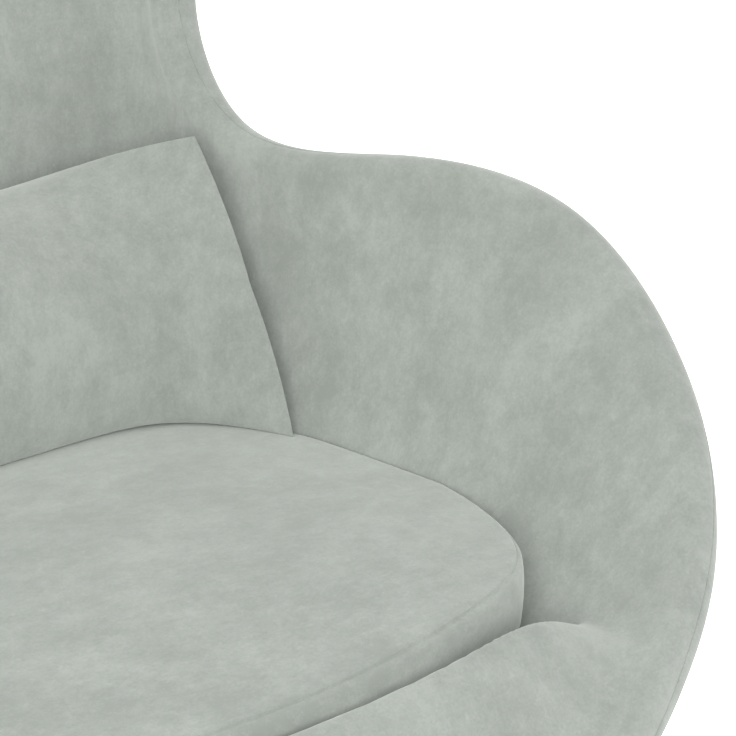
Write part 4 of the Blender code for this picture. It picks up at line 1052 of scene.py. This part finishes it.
def make_zip(name, body, node, cover, starts, ways, finishes):
    """A zip that lies on a finished cover, found by rays: tape, coil, two rows of stitches and a slider."""
    tape, coil, thread, zinc = finishes
    tree = surface_tree(cover)
    rays = zip(starts.reshape(-1, 3), ways.reshape(-1, 3))
    hits = [tree.ray_cast(Vector(start), Vector(way)) for start, way in rays]
    normals = np.array([hit[1] for hit in hits]).reshape(starts.shape)
    outer = np.array([hit[0] for hit in hits]).reshape(starts.shape) + normals * ZIP_PROUD
    inner = outer - normals * ZIP_TAPE
    rings = [np.concatenate([outer[:, c], inner[::-1, c]]) for c in range(ZIP_COLUMNS)]
    points, faces = loft(rings, rings[0].mean(0), rings[-1].mean(0))
    piece = new_piece(f"{name}_tape", points, faces, tape, sharp=SHARP_EDGE)
    settle(piece, body, "zip_tape", node)
    middle = ZIP_ROWS // 2
    length = np.linalg.norm(np.diff(outer[middle], axis=0), axis=1).sum()
    rows = (
        ("coil", middle, COIL, COIL_PITCH, coil),
        ("upper_stitches", 0, STITCH, STITCH_PITCH, thread),
        ("lower_stitches", -1, STITCH, STITCH_PITCH, thread),
    )
    for label, row, size, pitch, finish in rows:
        shape = new_piece("shape", *bead(size), finish)
        piece = set_in_row(f"{name}_{label}", shape, outer[row], normals[row], int(length / pitch), finish)
        settle(piece, body, "zip_tape", node)
    end = (middle, SLIDER_COLUMNS)
    shape = new_piece("shape", *bead(SLIDER, SLIDER_SQUARENESS), zinc)
    piece = set_in_row(f"{name}_slider", shape, outer[end], normals[end], 1, zinc)
    settle(piece, body, "zinc_steel", node)


def make_zips(cushion, pillow, finishes):
    """Both zips, each found by rays from behind: round the cushion's band, and straight at the pillow."""
    across = np.linspace(1, -1, ZIP_ROWS)[:, None] * ZIP_HALF_WIDTH
    along = np.linspace(-1, 1, ZIP_COLUMNS)[None, :]
    bearing = math.pi / 2 + along * CUSHION_ZIP_TURN + 0 * across
    ways = np.stack([-np.cos(bearing), -np.sin(bearing), 0 * bearing], -1)
    heights = CUSHION_ZIP_HEIGHT + across + 0 * bearing
    middle = np.stack([0 * bearing, CUSHION_CENTRE + 0 * bearing, heights], -1)
    starts = middle - ways * CUSHION_ZIP_APPROACH
    make_zip("cushion_zip", "seat_cushion", "seat_cushion_zip", cushion, starts, ways, finishes)

    place = (PILLOW_ZIP_PLACE + across + 0 * along)[..., None]
    starts = pillow_seat() + PILLOW_UP * place - PILLOW_FORWARD * PILLOW_ZIP_APPROACH
    starts[..., 0] += along * PILLOW_ZIP_HALF_LENGTH
    ways = np.broadcast_to(PILLOW_FORWARD, starts.shape)
    make_zip("pillow_back_zip", "pillow", "pillow_zip", pillow, starts, ways, finishes)


def eased(profile, ease, closed):
    """The profile with each corner cut by a small chamfer, because no real edge is quite sharp."""
    points = np.asarray(profile, float)
    corners = []
    for i, point in enumerate(points):
        if not closed and i in (0, len(points) - 1):
            corners.append(point)
            continue
        for other in (points[i - 1], points[(i + 1) % len(points)]):
            way = other - point
            corners.append(point + way * min(EASE_MOST, ease / np.linalg.norm(way)))
    return corners


def turned(profile, segments=TURNED_SEGMENTS, ease=TURNED_EASE):
    """Points and faces of a turned piece. A profile that starts on the axis is solid, another is a ring."""
    solid = profile[0][0] == 0
    outline = eased(profile, ease, closed=not solid)
    rings = [round_axis(even_angles(segments), r, z) for r, z in outline if r > 0]
    if solid:
        return loft(rings, (0.0, 0.0, outline[0][1]), (0.0, 0.0, outline[-1][1]))
    return loft(rings, wrap=True)


def stepped(bottom, *steps, bore=0.0):
    """A turned profile that goes from the bottom in steps of (radius, height), solid or round a bore."""
    profile = [(bore, bottom)]
    for radius, height in steps:
        profile += [(radius, profile[-1][1]), (radius, height)]
    return profile + [(bore, profile[-1][1])]


def make_turned(name, profile, finish, body, slot, node):
    piece = new_piece(name, *turned(profile), finish, sharp=SHARP_EDGE)
    settle(piece, body, slot, node)


def make_mount(coat, zinc):
    """The plate in the pan and the swivel head under it, with the bolts and washers that join them."""
    plate = stepped(FLANGE_BOTTOM, (MOUNT_FLANGE_RADIUS, FLANGE_TOP), (MOUNT_BOSS_RADIUS, MOUNT_TOP))
    make_turned("mount_disc", plate, coat, "seat", "painted_steel", "seat_mount_plate")
    head = stepped(
        SPINDLE_BOTTOM,
        (SPINDLE_RADIUS, RING_TOP - RING - GAP),
        (GROOVE_RADIUS, RING_TOP + GAP),
        (SPINDLE_RADIUS, SWIVEL_HUB_BOTTOM),
        (SWIVEL_HUB_RADIUS, PLATE_BOTTOM),
        (SWIVEL_PLATE_RADIUS, PLATE_TOP),
    )
    make_turned("swivel_head", head, coat, "seat", "painted_steel", "swivel_spindle")

    washer_top = PLATE_BOTTOM - GAP
    washer_bottom = washer_top - WASHER
    head_top = washer_bottom - GAP
    head_bottom = head_top - BOLT_HEAD
    bolt = stepped(
        head_bottom + BOLT_SOCKET,
        (BOLT_SOCKET_RADIUS, head_bottom),
        (BOLT_HEAD_RADIUS, head_top),
        (BOLT_RADIUS, PLATE_TOP),
    )
    washer = stepped(washer_bottom, (WASHER_RADIUS, washer_top), bore=BOLT_RADIUS + GAP)
    spots = round_axis(even_angles(BOLT_COUNT, 0.5), BOLT_CIRCLE)
    for name, profile, nodes in (("bolt_set", bolt, "mount_bolt"), ("washer_set", washer, "mount_washer")):
        shape = new_piece("shape", *turned(profile, BOLT_SEGMENTS, SMALL_EASE), zinc, sharp=SHARP_EDGE)
        piece = set_in_row(name, shape, spots, (0, 0, 1), BOLT_COUNT, zinc, closed=True)
        settle(piece, "seat", "zinc_steel", *(f"{nodes}_{i + 1}" for i in range(BOLT_COUNT)))


def make_bearing(ground, brass):
    """The thrust bearing under the swivel head: two races, and the cage of needles between them."""
    race = stepped(UPPER_RACE_BOTTOM, (RACE_RADIUS, UPPER_RACE_BOTTOM + RACE), bore=BUSH_BORE)
    make_turned("upper_race", race, ground, "seat", "bearing_steel", "thrust_race_upper")
    race = stepped(LOWER_RACE_BOTTOM, (RACE_RADIUS, LOWER_RACE_BOTTOM + RACE), bore=BUSH_BORE)
    make_turned("lower_race", race, ground, "base", "bearing_steel", "thrust_race_lower")
    cage = stepped(CAGE_BOTTOM + CAGE_EASE, (CAGE_RADIUS, CAGE_BOTTOM + CAGE - CAGE_EASE), bore=BUSH_BORE)
    make_turned("needle_cage", cage, brass, "base", "brass_cage", "thrust_cage")
    needle = stepped(0.0, (CAGE / 2, NEEDLE_LENGTH))
    points, faces = turned(needle, NEEDLE_SEGMENTS, SMALL_EASE)
    points = points[:, [0, 2, 1]] * (1, -1, 1) + (0, NEEDLE_LENGTH / 2, 0)
    shape = new_piece("shape", points, faces, ground, sharp=SHARP_EDGE)
    middle = CAGE_RADIUS - NEEDLE_LENGTH / 2 + NEEDLE_PROUD
    path = round_axis(even_angles(NEEDLE_COUNT), middle, CAGE_BOTTOM + CAGE / 2)
    needles = set_in_row("thrust_needles", shape, path, (0, 0, 1), NEEDLE_COUNT, ground, closed=True)
    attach(needles, "base")


def make_bushes(nylon, ground):
    """The spindle's two bushes, and the washer and ring that keep it in the column."""
    bottom = COLUMN_TOP - BUSH_LENGTH
    upper = stepped(bottom, (BUSH_RADIUS, COLUMN_TOP + GAP), (COLUMN_RADIUS, BUSH_TOP), bore=BUSH_BORE)
    make_turned("upper_bush", upper, nylon, "base", "black_nylon", "bush_upper")
    lower = stepped(COLUMN_BOTTOM, (BUSH_RADIUS, COLUMN_BOTTOM + BUSH_LENGTH), bore=BUSH_BORE)
    make_turned("lower_bush", lower, nylon, "base", "black_nylon", "bush_lower")
    outer = SPINDLE_RADIUS + RETAINING_WASHER_WIDTH
    bottom = RETAINING_WASHER_TOP - RETAINING_WASHER
    washer = stepped(bottom, (outer, RETAINING_WASHER_TOP), bore=BUSH_BORE)
    make_turned("spindle_washer", washer, ground, "seat", "bearing_steel", "retaining_washer")
    inner = GROOVE_RADIUS + GAP
    ring = stepped(RING_TOP - RING, (inner + RING_WIDTH, RING_TOP), bore=inner)
    make_turned("spindle_ring", ring, ground, "seat", "bearing_steel", "retaining_ring")


def leg_rings(angle):
    """Rings along one cast leg: a flat underside, rounded shoulders and a rounded tip."""
    rings = []
    tip = 1 - (1 - LEG_TIP_START) * LEG_TIP_SHARES
    for share in np.concatenate([np.linspace(LEG_START, LEG_TIP_START, LEG_RINGS), tip]):
        past = max(0.0, (share - LEG_TIP_START) / (1 - LEG_TIP_START))
        half = (LEG_ROOT_WIDTH + (LEG_TIP_WIDTH - LEG_ROOT_WIDTH) * share) / 2
        height = LEG_ROOT_HEIGHT + (LEG_TIP_HEIGHT - LEG_ROOT_HEIGHT) * share
        bottom = GLIDE + GAP + LEG_RISE * (1 - share) ** 2
        outline = spline_ring([(half * w, bottom + height * h) for w, h in LEG_OUTLINE], LEG_SEGMENTS)
        middle = outline.mean(0)
        outline = middle + (outline - middle) * math.sqrt(max(LEG_TIP_LEAST, 1 - past * past))
        along = np.full(len(outline), share * LEG_REACH)
        across, up = outline.T
        turn = np.array(((math.cos(angle), math.sin(angle)), (-math.sin(angle), math.cos(angle))))
        rings.append(np.column_stack([np.stack([along, across], 1) @ turn, up]))
    return rings


def make_base(aluminium, nylon):
    """The cast star base, its column, the cap under the hub and the glides."""
    hub = [(0.0, HUB_FOOT)] + [(HUB_RADIUS * r, HUB_FOOT + HUB_HEIGHT * h) for r, h in HUB_OUTLINE]
    bodies = [turned(hub + [(0.0, HUB_FOOT + HUB_HEIGHT)])]
    angles = even_angles(LEG_COUNT, 0.5)
    for angle in angles:
        rings = leg_rings(angle)
        bodies.append(loft(rings, rings[0].mean(0), rings[-1].mean(0)))
    points = np.concatenate([body[0] for body in bodies])
    faces = []
    first = 0
    for spots, sides in bodies:
        faces += [[i + first for i in side] for side in sides]
        first += len(spots)
    piece = new_piece("cast_star", points, faces, aluminium)
    blend = piece.modifiers.new("blend", "REMESH")
    blend.mode = "VOXEL"
    blend.voxel_size = CAST_VOXEL
    fillet = piece.modifiers.new("fillet", "SMOOTH")
    fillet.factor = CAST_SMOOTH_FACTOR
    fillet.iterations = CAST_SMOOTHING
    bake(piece)
    piece.data.shade_smooth()
    settle(piece, "base", "polished_aluminium", "star_base")

    column = stepped(COLUMN_BOTTOM, (COLUMN_RADIUS, COLUMN_TOP), bore=COLUMN_BORE)
    make_turned("swivel_column", column, aluminium, "base", "polished_aluminium", "column_tube")
    top = HUB_FOOT - GAP
    cap = stepped(top - CAP_FLANGE, (CAP_RADIUS, top), (LEDGE_BORE - GAP, top + CAP_PLUG))
    make_turned("base_cap", cap, nylon, "base", "black_nylon", "hub_cap")
    foot = [(0.0, 0.0), (GLIDE_FOOT_RADIUS, 0.0)]
    stem = (GLIDE_STEM_RADIUS, GLIDE + GLIDE_STEM)
    glide = foot + stepped(GLIDE_CHAMFER, (GLIDE_RADIUS, GLIDE), stem)[1:]
    shape = new_piece("shape", *turned(glide, GLIDE_SEGMENTS, SMALL_EASE), nylon, sharp=SHARP_EDGE)
    spots = round_axis(angles, LEG_REACH - GLIDE_INSET)
    piece = set_in_row("glide_set", shape, spots, (0, 0, 1), LEG_COUNT, nylon, closed=True)
    settle(piece, "base", "black_nylon", *(f"glide_{i + 1}" for i in range(LEG_COUNT)))


def make_camera():
    """The camera of the photograph, close in front of the right arm."""
    back = Vector(
        (
            math.sin(CAMERA_AZIMUTH) * math.cos(CAMERA_ELEVATION),
            -math.cos(CAMERA_AZIMUTH) * math.cos(CAMERA_ELEVATION),
            math.sin(CAMERA_ELEVATION),
        )
    )
    data = bpy.data.cameras.new("camera")
    data.sensor_width = SENSOR_MM
    data.lens = FOCAL_PIXELS / FRAME_PIXELS * SENSOR_MM
    camera = bpy.data.objects.new("camera", data)
    camera.location = CAMERA_TARGET + back * CAMERA_DISTANCE
    camera.rotation_euler = (-back).to_track_quat("-Z", "Y").to_euler()
    bpy.context.scene.collection.objects.link(camera)
    bpy.context.scene.camera = camera


def seen_directly(tree):
    """One for rays that show the background: from the camera, mirrored in metal, or let through."""
    path = add(tree, "ShaderNodeLightPath").outputs
    seen = path["Is Camera Ray"]
    for ray in ("Is Glossy Ray", "Is Transmission Ray"):
        seen = add(tree, "ShaderNodeMath", {0: seen, 1: path[ray]}, operation="MAXIMUM")
    return seen


def make_stage():
    """A pale floor, a white surround and broad soft lamps."""
    scene = bpy.context.scene
    scene.view_settings.view_transform = "Standard"
    world = bpy.data.worlds.new("surround")
    world.use_nodes = True
    scene.world = world
    tree = world.node_tree
    strengths = {"Value": seen_directly(tree), "To Min": SURROUND, "To Max": 1.0}
    strength = add(tree, "ShaderNodeMapRange", strengths)
    feed(tree, tree.nodes["Background"], {"Color": linear("#FFFFFF"), "Strength": strength})
    for name, size, energy, spot in LAMPS:
        lamp = bpy.data.lights.new(name, "AREA")
        lamp.shape = "DISK"
        lamp.size = size
        lamp.energy = energy
        holder = bpy.data.objects.new(name, lamp)
        holder.location = spot
        holder.rotation_euler = (CAMERA_TARGET - holder.location).to_track_quat("-Z", "Y").to_euler()
        scene.collection.objects.link(holder)
    finish = bpy.data.materials.new("white_floor")
    finish.use_nodes = True
    tree = finish.node_tree
    tree.nodes.clear()
    matt = add(tree, "ShaderNodeBsdfDiffuse", {"Color": linear("#F4F4F4")})
    dim = add(tree, "ShaderNodeMath", {0: seen_directly(tree), 1: FLOOR_GLOW}, operation="MULTIPLY")
    glow = add(tree, "ShaderNodeEmission", {"Strength": dim})
    both = add(tree, "ShaderNodeAddShader", {0: matt, 1: glow})
    add(tree, "ShaderNodeOutputMaterial", {"Surface": both})
    corners = [(x * FLOOR_REACH, y * FLOOR_REACH, 0) for x, y in ((-1, -1), (1, -1), (1, 1), (-1, 1))]
    floor = new_piece("floor", corners, [(0, 1, 2, 3)], finish)


def main():
    make_camera()
    make_stage()
    # Suede stroked up and down on the walls and the pillow, and from side to side on the seat
    wall_suede = brushed_suede("brushed_suede_wall", (1.0, 1.0, 0.75))
    seat_suede = brushed_suede("brushed_suede_seat", (0.75, 1.0, 1.0))
    foam = cut_foam()
    nylon = satin_nylon("black_moulded_nylon", "#141414", "#232323")
    # Zinc plating: a soft blue-grey shine
    zinc = bare_metal("zinc_plated_steel", "#A9ACB0", "#C3C6C9", 0.25, 0.45, (1.0, 1.0, 1.0))
    # Ground steel: bright, with close level lines left by the grinding wheel
    ground = bare_metal("ground_bearing_steel", "#B4B5B8", "#C8C9CB", 0.12, 0.30, (1.0, 1.0, 6.0))
    # Stamped brass: warm yellow, a little duller than the steel
    brass = bare_metal("stamped_brass", "#B9924A", "#D0AC66", 0.22, 0.42, (1.0, 1.0, 1.0))
    # Polished cast aluminium: almost white, and clear enough to mirror the room
    aluminium = bare_metal("polished_cast_aluminium", "#CFD0D2", "#DFE0E2", 0.10, 0.26, (1.0, 1.0, 1.0))
    make_shell(wall_suede, foam, glass_laminate())
    wall = face_tree()
    cushion = make_seat_cushion(seat_suede, foam, wall)
    pillow = make_pillow(wall_suede, fibre_fill(), wall, surface_tree(cushion))
    coil = satin_nylon("sage_nylon_coil", "#858B83", "#9AA097")
    thread = satin_nylon("sage_nylon_thread", "#9BA19A", "#B0B6AE")
    make_zips(cushion, pillow, (woven_tape(), coil, thread, zinc))
    make_mount(powder_coated_steel(), zinc)
    make_bearing(ground, brass)
    make_bushes(nylon, ground)
    make_base(aluminium, nylon)


main()
